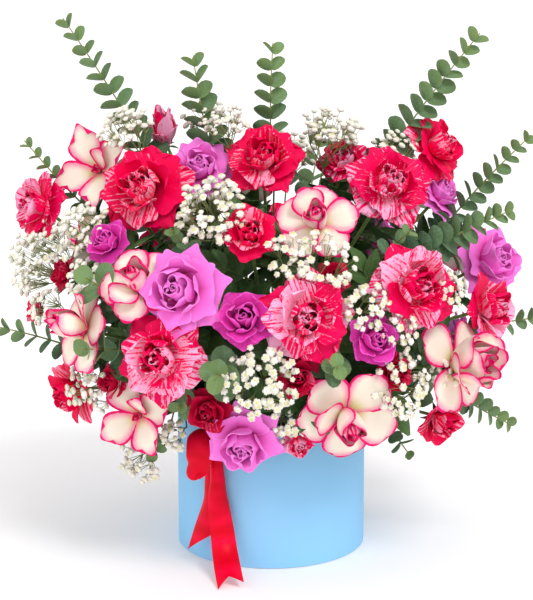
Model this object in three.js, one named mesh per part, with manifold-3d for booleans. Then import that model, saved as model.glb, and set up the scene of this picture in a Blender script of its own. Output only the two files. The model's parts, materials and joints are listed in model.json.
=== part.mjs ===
// Round cardboard box filled with roses, eucalyptus and gypsophila.
// Millimetres, +Z up. The origin is the middle of the box's underside, and the
// side that is meant to be seen faces -Y.

import * as THREE from 'three';
import { mergeVertices } from 'three/addons/utils/BufferGeometryUtils.js';
import Module from 'manifold-3d';

const wasm = await Module();
wasm.setup();

// Driving dimensions
const GAP = 0.3;
const BOX = { radius: 90, height: 140, wall: 2.5, base: 2.5, sides: 32 };
const LINER = { height: 122, wall: 1 };
const FOAM = { sides: 16, shoulder: 150, top: 218, bends: [[1, 0], [0.86, 0.5], [0.5, 0.85], [0, 1]] };
const ROSE_STEM = 2.1;
const SPRAY_STEM = 1.2;
const GYP_STEM = 1.1;
const TWIG_SPACING = 3;
const PETAL_SHARE = 0.9;
const JOIN_TOLERANCE = 0.15;
const RIBBON = { width: 25, thickness: 0.9, knot: 10.5, knotStretch: 1.1, fineness: 1.25 };
const SWALLOW_TAIL = { depth: 13, reach: 4 };

// All stems point away from this place in the foam, and all flower heads sit on
// an egg-shaped dome round the middle of the bouquet.
const HEART = new THREE.Vector3(0, 0, 165);
const DOME = { centre: new THREE.Vector3(0, 0, 232), half: new THREE.Vector3(215, 180, 142) };
const INNER_END = 27;
const STEM_WEB = 1;
const CELL_GAP = 0.2;
const NEAREST_BORDER = 0.15;
const NEIGHBOUR_ROOM = THREE.MathUtils.degToRad(40);
const BRANCH = { nearest: 94, furthest: 172, step: 3, clear: 0.45 };

// Ribbon: the knot is against the wall, low under the flowers. Each stretch of
// ribbon passes its stations: a place, the way its face looks there, and the
// part of its width that is left where it is gathered.
const RIBBON_KNOT = new THREE.Vector3(-62, -79, 123);
const LOOP = [
  { at: [-61, -78, 127], face: [-0.1, -0.5, 0.8], spread: 0.4 },
  { at: [-70, -88, 137], face: [-0.2, -0.5, 0.8], spread: 0.8 },
  { at: [-76, -97, 131], face: [-0.3, -0.8, 0.4], spread: 1 },
  { at: [-76, -101, 119], face: [-0.3, -1, 0], spread: 1 },
  { at: [-73, -99, 104], face: [-0.5, -0.8, -0.1], spread: 1 },
  { at: [-70, -96, 92], face: [-0.7, -0.3, -0.7], spread: 1 },
  { at: [-64, -91, 91], face: [-0.1, -0.1, -1], spread: 1 },
  { at: [-61, -88, 103], face: [0.8, 0.3, -0.3], spread: 0.8 },
  { at: [-62, -82, 121], face: [0.3, 0.9, 0], spread: 0.4 },
];
const LEFT_TAIL = [
  { at: [-62, -76, 119], face: [-0.3, -1, 0], spread: 0.4 },
  { at: [-59, -77, 103], face: [-0.5, -0.85, 0], spread: 0.5 },
  { at: [-58, -79, 84], face: [-0.5, -0.85, 0], spread: 0.7 },
  { at: [-58.5, -82, 62], face: [-0.6, -0.8, 0], spread: 0.85 },
  { at: [-63.5, -83, 40], face: [-0.7, -0.7, 0], spread: 1 },
  { at: [-71.5, -84, 12], face: [-0.7, -0.7, 0], spread: 1 },
];
const LEFT_CUT = { tip: new THREE.Vector3(-81, 0, 13), inner: new THREE.Vector3(-56, 0, 34) };
const RIGHT_TAIL = [
  { at: [-58, -79, 121], face: [0.1, -1, 0], spread: 0.35 },
  { at: [-52, -86, 109], face: [0.1, -1, 0], spread: 0.35 },
  { at: [-49, -92, 88], face: [0.2, -1, 0], spread: 0.5 },
  { at: [-48.5, -96, 68], face: [0.2, -1, 0], spread: 0.75 },
  { at: [-45, -101, 40], face: [0.15, -0.95, 0.2], spread: 0.85 },
  { at: [-43, -108, 24], face: [0.1, -0.8, 0.5], spread: 0.95 },
  { at: [-40.5, -124, 12.5], face: [-0.1, -0.5, 0.8], spread: 1 },
  { at: [-37.6, -145, 5], face: [-0.25, -0.2, 0.95], spread: 1 },
];

// Forms of the roses. Lengths are parts of the rose's size, angles are degrees
// up from the plane that the rose faces out of. Neighbouring petals sway up and
// down by turns. The bud is given as rings of radius, height and lobe depth,
// from the petals in to its tip.
const WHITE = {
  petals: { count: 5, tilt: 12, length: 0.53, width: 0.5, broad: 0.72, cup: 0.05, sway: 8 },
  bud: [[0.13, 0.26, 0]],
  tip: 0.5,
};
const OPEN_WHITE = {
  petals: { count: 4, tilt: 24, length: 0.58, width: 0.5, broad: 0.7, cup: 0.08, sway: 7 },
  bud: [],
  tip: 0.12,
};
const LILAC = {
  petals: { count: 5, tilt: 10, length: 0.56, width: 0.47, broad: 0.62, cup: 0.03, sway: 6 },
  bud: [[0.22, 0.36, 0.07]],
  tip: 0.3,
};
const RUFFLED = {
  petals: { count: 6, tilt: 12, length: 0.53, width: 0.42, broad: 0.72, cup: 0.05, sway: 9 },
  bud: [[0.21, 0.32, 0.07]],
  tip: 0.26,
};
const SMALL = {
  petals: { count: 4, tilt: 26, length: 0.5, width: 0.5, broad: 0.92, cup: 0.06, sway: 7, blunt: true },
  bud: [[0.22, 0.4, 0.05]],
  tip: 0.34,
};
const TIGHT_BUD = {
  petals: { count: 4, tilt: 56, length: 0.62, width: 0.5, broad: 0.6, cup: 0.02, sway: 6 },
  bud: [[0.17, 0.6, 0.02]],
  tip: 1,
};
const ROSE_BODY = { base: -0.1, notch: 0.17, throat: 0.12, floor: 0.05, wall: 0.05 };

// Round leaf, as parts of its length: a side view with its widest place, where
// its blunt end begins, and how broad it is there. Long sprays tilt and roll
// their leaves, and short ones seen end on hold them flatter.
const LEAF = { width: 0.82, widest: 0.48, shoulder: 0.94, shoulderWidth: 0.56, cup: 0.05, middle: 0.55 };
const LEAF_THICKNESS = 1.3;
const LEAF_ROOM = { length: 1.05, thickness: 2.2 };
const LONG_SPRAY = { tilt: 58, roll: 40, first: 0.1, stretch: 0.88, cross: 0 };
const SHORT_SPRAY = { tilt: 72, roll: 0, first: 0.45, stretch: 0.5, cross: 90 };
const LEAF_GROWTH = { base: 1.05, taper: 0.4 };
const STALK_GROWTH = 1.2;
const SPRAY_NECK = 0.86;

// Floret: a cup of petals on a thin twig
const FLORET = { radius: 3.9, height: 2.4, twig: 0.45, room: 1.3 };
const TUFT_NECK = 1.1;
const TUFT = { turn: 2.4, middle: 0.4, scatter: 10, sink: 0.15, lifts: [0, 8, 16, 24] };

// The roses: bearing from the front, rise above level, place on the dome (1 is
// on it, less is deeper), size, the bearing and rise it faces, first petal.
const ROSES = {
  white_1: { form: OPEN_WHITE, stem: [-101, 49], out: 1.13, size: 76, face: [-30, 25], first: 45 },
  white_2: { form: WHITE, stem: [20, 55], out: 1, size: 72, face: [-5, 35], first: 90 },
  white_3: { form: WHITE, stem: [-41, 34], out: 1, size: 74, face: [-20, 42], first: 200 },
  white_4: { form: WHITE, stem: [-57, 20], out: 1, size: 82, face: [-60, 20], first: 20 },
  white_5: { form: WHITE, stem: [58, 11], out: 1, size: 84, face: [52, 18], first: 110 },
  white_6: { form: OPEN_WHITE, stem: [-46, -2], out: 1, size: 72, face: [-22, 6], first: 30 },
  white_7: { form: WHITE, stem: [24, 3], out: 1, size: 84, face: [8, -16], first: 90 },
  lilac_1: { form: LILAC, stem: [-92, 71], out: 0.98, size: 56, face: [0, 38], first: 60 },
  lilac_2: { form: LILAC, stem: [100, 46], out: 1.02, size: 50, face: [60, 40], first: 0 },
  lilac_3: { form: LILAC, stem: [91, 28], out: 1, size: 74, face: [42, 24], first: 90 },
  lilac_4: { form: SMALL, stem: [-62, 41], out: 0.98, size: 46, face: [-40, 38], first: 15 },
  lilac_5: { form: LILAC, stem: [-27, 35], out: 1, size: 82, face: [-22, 20], first: 80 },
  lilac_6: { form: SMALL, stem: [-8, 30], out: 0.96, size: 56, face: [-5, 30], first: 50 },
  lilac_7: { form: SMALL, stem: [30, 23], out: 0.96, size: 50, face: [25, 15], first: 70 },
  lilac_8: { form: LILAC, stem: [-10, -7], out: 1.02, size: 72, face: [-5, -20], first: 100 },
  striped_1: { form: RUFFLED, stem: [-95, 36], out: 1.17, size: 66, face: [-55, 16], first: 30 },
  striped_2: { form: TIGHT_BUD, stem: [-114, 63], out: 1.12, size: 34, face: [-20, 75], first: 0 },
  striped_3: { form: RUFFLED, stem: [71, 59], out: 1.02, size: 80, face: [15, 35], first: 75 },
  striped_4: { form: SMALL, stem: [118, 68], out: 1, size: 50, face: [-10, 50], first: 40 },
  striped_5: { form: RUFFLED, stem: [10, 30], out: 1, size: 80, face: [2, 14], first: 10 },
  striped_6: { form: RUFFLED, stem: [-31, 18], out: 1, size: 82, face: [-18, 12], first: 55 },
  striped_7: { form: RUFFLED, stem: [44, 33], out: 1, size: 82, face: [28, 22], first: 35 },
  striped_8: { form: SMALL, stem: [74, 21], out: 0.97, size: 60, face: [62, 14], first: 20 },
  striped_9: { form: SMALL, stem: [10, -10], out: 1, size: 32, face: [6, -20], first: 65 },
  striped_10: { form: SMALL, stem: [-86, 17], out: 1.02, size: 34, face: [-78, 10], first: 25 },
  crimson_1: { form: RUFFLED, stem: [-77, 57], out: 1, size: 86, face: [-18, 32], first: 20 },
  crimson_2: { form: RUFFLED, stem: [-40, 87], out: 1, size: 74, face: [0, 42], first: 85 },
  crimson_3: { form: RUFFLED, stem: [104, 53], out: 1.19, size: 66, face: [82, 22], first: 70 },
  crimson_4: { form: SMALL, stem: [-9, 53], out: 0.98, size: 54, face: [0, 30], first: 35 },
  crimson_5: { form: SMALL, stem: [-77, -1], out: 1.01, size: 58, face: [-62, -22], first: 80 },
  crimson_6: { form: SMALL, stem: [71, -9], out: 1.03, size: 54, face: [42, -26], first: 45 },
  crimson_7: { form: SMALL, stem: [8, 15], out: 0.92, size: 42, face: [5, 10], first: 30 },
  crimson_8: { form: SMALL, stem: [-18, 6], out: 0.94, size: 38, face: [-10, 0], first: 75 },
  crimson_9: { form: SMALL, stem: [-78, 29], out: 0.96, size: 36, face: [-70, 25], first: 10 },
  crimson_10: { form: SMALL, stem: [-52, 8], out: 0.94, size: 36, face: [-45, 5], first: 60 },
  crimson_11: { form: SMALL, stem: [38, 13], out: 0.94, size: 38, face: [30, 5], first: 15 },
  crimson_12: { form: SMALL, stem: [22, 41], out: 0.92, size: 34, face: [15, 30], first: 50 },
};

// The back has three tiers of roses, placed by a rule.
const BACK_TIERS = [
  {
    rise: 3,
    size: 74,
    bearings: [108, 135, 163, 191, 219, 246],
    forms: [LILAC, SMALL, SMALL, WHITE, LILAC, SMALL],
  },
  {
    rise: 27,
    size: 78,
    bearings: [116, 148, 180, 212, 241],
    forms: [WHITE, LILAC, SMALL, SMALL, WHITE],
  },
  {
    rise: 51,
    size: 76,
    bearings: [146, 188, 228],
    forms: [SMALL, WHITE, LILAC],
  },
];
const BACK_LEAN = 0.8;
const BACK_TURN = 37;

// Roses that share a node: one stem stands in the foam and the others branch
// off it.
const ROSE_GROUPS = {
  rose_white_1: ['white_1'],
  rose_white_2: ['white_2'],
  rose_white_3: ['white_3'],
  rose_white_4: ['white_4'],
  rose_white_5: ['white_5'],
  rose_white_6: ['white_6'],
  rose_white_7: ['white_7'],
  rose_lilac_1: ['lilac_1'],
  rose_lilac_2: ['lilac_2'],
  rose_lilac_3: ['lilac_3'],
  rose_lilac_4: ['lilac_4'],
  rose_lilac_5: ['lilac_5'],
  rose_lilac_6: ['lilac_6'],
  rose_lilac_7: ['lilac_7'],
  rose_lilac_8: ['lilac_8'],
  rose_striped_left: ['striped_1', 'crimson_9', 'striped_10'],
  rose_striped_top: ['striped_3', 'striped_4'],
  rose_striped_middle: ['striped_5', 'crimson_12'],
  rose_striped_low: ['striped_6', 'crimson_8', 'crimson_10'],
  rose_striped_right: ['striped_7'],
  rose_striped_edge: ['striped_8'],
  rose_crimson_upper: ['crimson_1', 'striped_2'],
  rose_crimson_crown: ['crimson_2'],
  rose_crimson_right: ['crimson_3'],
  rose_crimson_middle: ['crimson_4'],
  rose_crimson_low_left: ['crimson_5'],
  rose_crimson_low_right: ['crimson_6', 'crimson_11'],
  rose_crimson_low: ['crimson_7', 'striped_9'],
  roses_back_right: ['back_1', 'back_2', 'back_7'],
  roses_back_low: ['back_3', 'back_4', 'back_9'],
  roses_back_left: ['back_5', 'back_6', 'back_11'],
  roses_back_upper: ['back_12', 'back_8', 'back_13', 'back_10', 'back_14'],
};

// Eucalyptus: the bearing and rise of the stem, where its tip reaches, the
// pairs of leaves on it and their length, and how far the leaves spread.
const SPRAYS = {
  spray_1: { stem: [-107, 59], tip: [-103, 59, 392], pairs: 5, leaf: 21, room: 2 },
  spray_2: { stem: [-118, 73], tip: [-114, 75, 312], pairs: 4, leaf: 26, room: 2.5 },
  spray_3: { stem: [176, 78], tip: [178, 82, 316], pairs: 4, leaf: 23, room: 2.5 },
  spray_4: { stem: [107, 62], tip: [102, 58, 380], pairs: 5, leaf: 22, room: 2 },
  spray_5: { stem: [96, 39], tip: [94, 43, 336], pairs: 4, leaf: 19, room: 2 },
  spray_6: { stem: [59, 42], tip: [77, 37, 286], pairs: 3, leaf: 22, room: 2 },
  spray_7: { stem: [-106, 39], tip: [-98, 43, 324], pairs: 3, leaf: 18, room: 2 },
  spray_8: { stem: [-82, 9], tip: [-87, 11, 275], pairs: 3, leaf: 19, room: 2 },
  spray_9: { stem: [86, 14], tip: [87, 13, 269], pairs: 3, leaf: 19, room: 2 },
  spray_10: { stem: [78, 1], tip: [81, -10, 236], pairs: 3, leaf: 19, room: 2 },
  spray_11: { stem: [52, -7], tip: [57, -20, 166], pairs: 2, leaf: 17, room: 2 },
  spray_12: { stem: [-54, -9], tip: [-48, -19, 158], pairs: 2, leaf: 18, room: 2 },
  spray_13: { stem: [-52, 31], tip: [-50, 30, 226], pairs: 2, leaf: 27, room: 3.5 },
  spray_14: { stem: [-46, 18], tip: [-48, 15, 216], pairs: 2, leaf: 24, room: 2.5 },
  spray_15: { stem: [-14, 17], tip: [-14, 16, 202], pairs: 2, leaf: 23, room: 2.5 },
  spray_16: { stem: [18, 17], tip: [18, 16, 206], pairs: 2, leaf: 18, room: 2 },
  spray_17: { stem: [-39, 49], tip: [-36, 48, 230], pairs: 2, leaf: 15, room: 2 },
  spray_18: { stem: [52, 46], tip: [50, 45, 236], pairs: 2, leaf: 15, room: 2 },
  spray_19: { stem: [-27, 5], tip: [-27, 5, 188], pairs: 2, leaf: 18, room: 2 },
  spray_20: { stem: [128, 38], tip: [128, 40, 300], pairs: 3, leaf: 21, room: 2 },
  spray_21: { stem: [165, 40], tip: [165, 44, 300], pairs: 2, leaf: 21, room: 2 },
  spray_22: { stem: [203, 15], tip: [203, 17, 250], pairs: 2, leaf: 20, room: 2 },
  spray_23: { stem: [232, 38], tip: [232, 42, 300], pairs: 3, leaf: 21, room: 2 },
};
const SPRAY_GROUPS = {
  eucalyptus_1: ['spray_1'],
  eucalyptus_2: ['spray_2'],
  eucalyptus_3: ['spray_3'],
  eucalyptus_4: ['spray_4'],
  eucalyptus_5: ['spray_5'],
  eucalyptus_6: ['spray_6', 'spray_18'],
  eucalyptus_7: ['spray_7'],
  eucalyptus_8: ['spray_8', 'spray_14'],
  eucalyptus_9: ['spray_9'],
  eucalyptus_10: ['spray_10', 'spray_11'],
  eucalyptus_11: ['spray_12', 'spray_19'],
  eucalyptus_12: ['spray_13', 'spray_17'],
  eucalyptus_13: ['spray_15', 'spray_16'],
  eucalyptus_back_1: ['spray_20', 'spray_21'],
  eucalyptus_back_2: ['spray_23', 'spray_22'],
};

// Gypsophila: where each tuft of florets is, how far it spreads sideways, and
// how many florets it has here.
const TUFTS = {
  tuft_1: { stem: [-25, 55], out: 1.06, spread: 34, florets: 7, room: 3.5 },
  tuft_2: { stem: [16, 42], out: 1.06, spread: 26, florets: 4, room: 2 },
  tuft_3: { stem: [-3, 14], out: 1.05, spread: 28, florets: 7, room: 3.5 },
  tuft_4: { stem: [26, 30], out: 1.04, spread: 22, florets: 4, room: 2 },
  tuft_5: { stem: [38, 9], out: 1.03, spread: 30, florets: 6, room: 3.5 },
  tuft_6: { stem: [-91, 27], out: 1.06, spread: 30, florets: 6, room: 2.5 },
  tuft_7: { stem: [142, 71], out: 1.06, spread: 28, florets: 5, room: 2.5 },
  tuft_8: { stem: [112, 53], out: 1.06, spread: 20, florets: 3, room: 2 },
  tuft_9: { stem: [-143, 76], out: 1.08, spread: 20, florets: 3, room: 2 },
  tuft_10: { stem: [-112, 56], out: 1.07, spread: 26, florets: 5, room: 2 },
  tuft_11: { stem: [-62, 4], out: 1.04, spread: 20, florets: 3, room: 2 },
  tuft_12: { stem: [-62, -9], out: 1.02, spread: 22, florets: 3, room: 2 },
  tuft_13: { stem: [54, 30], out: 1.03, spread: 18, florets: 3, room: 2 },
  tuft_14: { stem: [5, 44], out: 1.05, spread: 16, florets: 3, room: 2 },
  tuft_15: { stem: [36, 24], out: 1.02, spread: 16, florets: 3, room: 2 },
  tuft_16: { stem: [125, 14], out: 1.05, spread: 24, florets: 3, room: 2 },
  tuft_17: { stem: [178, 13], out: 1.05, spread: 26, florets: 3, room: 2 },
  tuft_18: { stem: [232, 15], out: 1.05, spread: 24, florets: 3, room: 2 },
  tuft_19: { stem: [170, 63], out: 1.05, spread: 24, florets: 3, room: 2 },
};
const TUFT_GROUPS = {
  gypsophila_1: ['tuft_1', 'tuft_9', 'tuft_10'],
  gypsophila_2: ['tuft_2', 'tuft_14', 'tuft_4', 'tuft_15'],
  gypsophila_3: ['tuft_3'],
  gypsophila_4: ['tuft_5', 'tuft_13'],
  gypsophila_5: ['tuft_6'],
  gypsophila_6: ['tuft_7', 'tuft_8', 'tuft_19'],
  gypsophila_7: ['tuft_11', 'tuft_12'],
  gypsophila_back: ['tuft_17', 'tuft_16', 'tuft_18'],
};

// Finishes
const FINISH = {
  box: { color: 0x94d0f9, roughness: 0.75 },
  liner: { color: 0xd8dadb, roughness: 0.5 },
  foam: { color: 0x3f6b3a, roughness: 0.95 },
  white: { color: 0xfbeedd, roughness: 0.6 },
  lilac: { color: 0xd05fc0, roughness: 0.6 },
  striped: { color: 0xd8204f, roughness: 0.6 },
  crimson: { color: 0xc60a35, roughness: 0.55 },
  eucalyptus: { color: 0x5f8f7c, roughness: 0.6 },
  gypsophila: { color: 0xf4f2e6, roughness: 0.8 },
  ribbon: { color: 0xe2062c, roughness: 0.35 },
};

// Directions and places
function direction([bearing, rise]) {
  const b = THREE.MathUtils.degToRad(bearing);
  const r = THREE.MathUtils.degToRad(rise);
  return new THREE.Vector3(Math.sin(b) * Math.cos(r), -Math.cos(b) * Math.cos(r), Math.sin(r));
}

function placeOn(axis, distance) {
  return HEART.clone().addScaledVector(axis, distance);
}

function domeReach(axis) {
  const d = axis.clone().divide(DOME.half);
  const o = HEART.clone().sub(DOME.centre).divide(DOME.half);
  const a = d.dot(d);
  const b = d.dot(o);
  const c = o.dot(o) - 1;
  return (-b + Math.sqrt(b * b - a * c)) / a;
}

// Basis with its z axis along the given one and its y axis as upright as it can be
function uprightBasis(z) {
  const up = Math.abs(z.z) > 0.98 ? new THREE.Vector3(0, 1, 0) : new THREE.Vector3(0, 0, 1);
  const x = up.cross(z).normalize();
  const y = z.clone().cross(x);
  return new THREE.Matrix4().makeBasis(x, y, z);
}

function angleBetween(a, b) {
  return Math.acos(THREE.MathUtils.clamp(a.dot(b), -1, 1));
}

// Small repeatable random numbers
function randomSource(seed) {
  let state = seed;
  return () => {
    state = (state * 1664525 + 1013904223) % 4294967296;
    return state / 4294967296;
  };
}

// Solids
function signedVolume(position, index) {
  const a = new THREE.Vector3();
  const b = new THREE.Vector3();
  const c = new THREE.Vector3();
  let sum = 0;
  for (let i = 0; i < index.length; i += 3) {
    a.fromBufferAttribute(position, index[i]);
    b.fromBufferAttribute(position, index[i + 1]);
    c.fromBufferAttribute(position, index[i + 2]);
    sum += a.dot(b.cross(c));
  }
  return sum / 6;
}

function weld(geometry) {
  const bare = geometry.clone();
  bare.deleteAttribute('normal');
  bare.deleteAttribute('uv');
  return mergeVertices(bare, 1e-4);
}

function toSolid(geometry) {
  const welded = weld(geometry);
  const { position } = welded.attributes;
  const triangles = [];
  const index = welded.index.array;
  for (let i = 0; i < index.length; i += 3) {
    const corners = [index[i], index[i + 1], index[i + 2]];
    if (new Set(corners).size === 3) triangles.push(...corners);
  }
  if (signedVolume(position, triangles) < 0) triangles.reverse();
  return new wasm.Manifold(new wasm.Mesh({
    numProp: 3,
    vertProperties: new Float32Array(position.array),
    triVerts: new Uint32Array(triangles),
  }));
}

function toGeometry(solid) {
  const { vertProperties, triVerts } = solid.getMesh();
  const geometry = new THREE.BufferGeometry();
  geometry.setAttribute('position', new THREE.BufferAttribute(vertProperties, 3));
  geometry.setIndex(new THREE.BufferAttribute(triVerts, 1));
  return geometry;
}

function union(solids) {
  return wasm.Manifold.union(solids);
}

function touches(a, b) {
  const p = a.boundingBox();
  const q = b.boundingBox();
  const apart = [0, 1, 2].some((k) => p.min[k] > q.max[k] || q.min[k] > p.max[k]);
  return !apart && a.intersect(b).volume() > 1e-6;
}

function largestPiece(solid) {
  const pieces = solid.decompose();
  return pieces.reduce((best, piece) => (piece.volume() > best.volume() ? piece : best));
}

// Same solid with its sealed hollows filled and loose scraps dropped: only the
// shell with the largest volume stays
function outerShell(solid) {
  const { vertProperties, triVerts } = solid.getMesh();
  const root = Array.from({ length: vertProperties.length / 3 }, (_, i) => i);
  const find = (i) => {
    let top = i;
    while (root[top] !== top) top = root[top];
    root[i] = top;
    return top;
  };
  for (let i = 0; i < triVerts.length; i += 3) {
    root[find(triVerts[i])] = find(triVerts[i + 1]);
    root[find(triVerts[i + 1])] = find(triVerts[i + 2]);
  }
  const shells = new Map();
  for (let i = 0; i < triVerts.length; i += 3) {
    const key = find(triVerts[i]);
    if (!shells.has(key)) shells.set(key, []);
    shells.get(key).push(triVerts[i], triVerts[i + 1], triVerts[i + 2]);
  }
  const position = new THREE.BufferAttribute(vertProperties, 3);
  const volumes = [...shells.values()].map((index) => ({ index, volume: signedVolume(position, index) }));
  const { index } = volumes.reduce((best, shell) => (shell.volume > best.volume ? shell : best));
  const geometry = new THREE.BufferGeometry();
  geometry.setAttribute('position', position);
  geometry.setIndex(index);
  return geometry.toNonIndexed();
}

// Straight rod from one point to another. Its first corner is half a side away
// from the x axis of its basis, so a flat side faces that way.
function rod(from, to, radius, sides, basis = uprightBasis(to.clone().sub(from).normalize())) {
  const corners = [];
  for (let i = 0; i < sides; i += 1) {
    const angle = (2 * Math.PI * (i + 0.5)) / sides;
    corners.push(new THREE.Vector2(radius * Math.cos(angle), radius * Math.sin(angle)));
  }
  const length = from.distanceTo(to);
  const shape = new THREE.Shape(corners);
  const geometry = new THREE.ExtrudeGeometry(shape, { depth: length, bevelEnabled: false });
  geometry.applyMatrix4(basis);
  geometry.translate(from.x, from.y, from.z);
  return geometry;
}

// Solid through rings of as many points each, closed at both ends by a single
// point: a sphere whose corners are moved to them
function ringedSolid(start, rings, end) {
  const sides = rings[0].length;
  const geometry = weld(new THREE.SphereGeometry(1, sides, rings.length + 1));
  const { position } = geometry.attributes;
  for (let i = 0; i < position.count; i += 1) {
    const level = Math.round((Math.acos(position.getY(i)) / Math.PI) * (rings.length + 1));
    const turn = Math.atan2(position.getZ(i), -position.getX(i)) / (2 * Math.PI);
    const side = Math.round(turn * sides + sides) % sides;
    const inner = [start, ...rings.map((ring) => ring[side]), end];
    const point = inner[level];
    position.setXYZ(i, point.x, point.y, point.z);
  }
  return geometry;
}

// Leaf that grows along +X from the origin, cupped upwards
function leafBlade(length, thickness) {
  const half = 0.5 * LEAF.width * length;
  const shoulder = LEAF.shoulderWidth * LEAF.width * length / 2;
  const cup = LEAF.cup * length;
  const outline = [
    new THREE.Vector3(0, 0, 0),
    new THREE.Vector3(LEAF.widest * length, half, cup),
    new THREE.Vector3(LEAF.shoulder * length, shoulder, cup / 2),
    new THREE.Vector3(LEAF.shoulder * length, -shoulder, cup / 2),
    new THREE.Vector3(LEAF.widest * length, -half, cup),
  ];
  const upper = new THREE.Vector3(LEAF.middle * length, 0, thickness / 2);
  const lower = new THREE.Vector3(LEAF.middle * length, 0, -thickness / 2);
  return ringedSolid(upper, [outline], lower);
}

// Every stem has a place: its axis, how far out it goes, and the room it takes
function backRoses() {
  const roses = {};
  let number = 0;
  for (const { rise, size, bearings, forms } of BACK_TIERS) {
    for (const [i, bearing] of bearings.entries()) {
      number += 1;
      roses[`back_${number}`] = {
        form: forms[i],
        stem: [bearing, rise],
        out: 1,
        size,
        face: [bearing, rise * BACK_LEAN],
        first: number * BACK_TURN,
      };
    }
  }
  return roses;
}

function stemOf(kind, name, entry, radius, groupOf) {
  const axis = direction(entry.stem);
  const reach = domeReach(axis) * (entry.out ?? 0.97);
  const room = entry.room
    ? THREE.MathUtils.degToRad(entry.room)
    : Math.atan((0.5 * entry.size) / reach);
  const sides = kind === 'rose' ? 4 : 3;
  return { ...entry, kind, name, axis, reach, room, radius, sides, group: groupOf[name] };
}

function groupNames(groups) {
  const names = {};
  for (const [group, members] of Object.entries(groups)) {
    for (const member of members) names[member] = group;
  }
  return names;
}

const groupOf = groupNames({ ...ROSE_GROUPS, ...SPRAY_GROUPS, ...TUFT_GROUPS });
const stems = {};
for (const [name, entry] of Object.entries({ ...ROSES, ...backRoses() })) {
  stems[name] = stemOf('rose', name, entry, ROSE_STEM, groupOf);
}
for (const [name, entry] of Object.entries(SPRAYS)) {
  stems[name] = stemOf('spray', name, entry, SPRAY_STEM, groupOf);
}
for (const [name, entry] of Object.entries(TUFTS)) {
  stems[name] = stemOf('tuft', name, entry, GYP_STEM, groupOf);
}
const allStems = Object.values(stems);

// Between two neighbours the border is a plane through the heart. It is nearer
// the one that needs less room.
function borderAngle(own, other) {
  const apart = angleBetween(own.axis, other.axis);
  const ownCos = Math.cos(own.room);
  const rise = Math.cos(other.room) - Math.cos(apart) * ownCos;
  const angle = Math.atan2(rise, Math.sin(apart) * ownCos);
  return THREE.MathUtils.clamp(angle, NEAREST_BORDER * apart, (1 - NEAREST_BORDER) * apart);
}

function bordersOf(own) {
  const borders = [];
  for (const other of allStems) {
    const apart = angleBetween(own.axis, other.axis);
    if (other !== own && apart < own.room + other.room + NEIGHBOUR_ROOM) {
      const angle = borderAngle(own, other);
      const across = other.axis.clone().addScaledVector(own.axis, -Math.cos(apart)).normalize();
      const inward = own.axis.clone().multiplyScalar(Math.sin(angle));
      inward.addScaledVector(across, -Math.cos(angle));
      borders.push({ inward, offset: inward.dot(HEART) + CELL_GAP });
    }
  }
  return borders;
}

// A stem's inner end is as deep in the foam as its neighbours leave room for
function innerEnd(own, leaders) {
  let depth = INNER_END;
  for (const other of leaders) {
    if (other !== own) {
      const apart = angleBetween(own.axis, other.axis);
      const needed = own.radius + other.radius + 2 * GAP + STEM_WEB;
      depth = Math.max(depth, needed / (2 * Math.sin(apart / 2)));
    }
  }
  return depth;
}

// The free corners of a petal: its two sides, with its tip between them where it
// isn't blunt. The sides stay within the petal's share of the circle.
function petalCorners(petals, scale, lift, turn) {
  const tilt = THREE.MathUtils.degToRad(petals.tilt + lift);
  const share = Math.tan((PETAL_SHARE * Math.PI) / petals.count);
  const corners = [];
  for (const sign of petals.blunt ? [-1, 1] : [-1, 0, 1]) {
    const along = scale * petals.length * (sign === 0 ? 1 : petals.broad);
    const cup = sign === 0 ? 0 : scale * petals.cup;
    const out = along * Math.cos(tilt) - cup * Math.sin(tilt);
    const across = sign * Math.min(0.5 * scale * petals.width, out * share);
    const corner = new THREE.Vector3(out, across, along * Math.sin(tilt) + cup * Math.cos(tilt));
    corners.push(corner.applyAxisAngle(new THREE.Vector3(0, 0, 1), THREE.MathUtils.degToRad(turn)));
  }
  return corners;
}

// A petal that would reach into a neighbour's room is bent up, and if need be
// made smaller, until it clears it
const PETAL_FITS = [
  [0, 1], [9, 1], [0, 0.9], [18, 1], [14, 0.9], [27, 0.95], [8, 0.8], [24, 0.85], [36, 0.88],
  [18, 0.74], [34, 0.76], [28, 0.64], [40, 0.6], [20, 0.56], [34, 0.46], [20, 0.4], [0, 0.3],
];

function fittedCorners(petals, size, lift, turn, place, borders) {
  let corners = [];
  for (const [more, scale] of PETAL_FITS) {
    corners = petalCorners(petals, scale, lift + more, turn);
    for (const corner of corners) corner.multiplyScalar(size);
    const inside = corners.every((corner) => {
      const point = corner.clone().applyMatrix4(place);
      return borders.every(({ inward, offset }) => inward.dot(point) > offset);
    });
    if (inside) break;
  }
  return corners;
}

// Rim of the petals, with a deep notch between each two
function petalRim(petals, size, first, place, borders) {
  const rim = [];
  const spacing = 360 / petals.count;
  for (let i = 0; i < petals.count; i += 1) {
    const turn = first + spacing * i;
    const notch = new THREE.Vector3(ROSE_BODY.notch * size, 0, 0);
    notch.applyAxisAngle(new THREE.Vector3(0, 0, 1), THREE.MathUtils.degToRad(turn - spacing / 2));
    const lift = i % 2 === 0 ? petals.sway : -petals.sway;
    rim.push(notch, ...fittedCorners(petals, size, lift, turn, place, borders));
  }
  return rim;
}

// Ring inside the petals, a little above their underside
function throatRing(rim, size) {
  return rim.map((point) => {
    const out = Math.hypot(point.x, point.y);
    const radius = Math.min(ROSE_BODY.throat * size, 0.7 * out);
    const under = ROSE_BODY.base * size + (point.z - ROSE_BODY.base * size) * (radius / out);
    const height = Math.max(ROSE_BODY.floor * size, under + ROSE_BODY.wall * size);
    return new THREE.Vector3((point.x * radius) / out, (point.y * radius) / out, height);
  });
}

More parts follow.
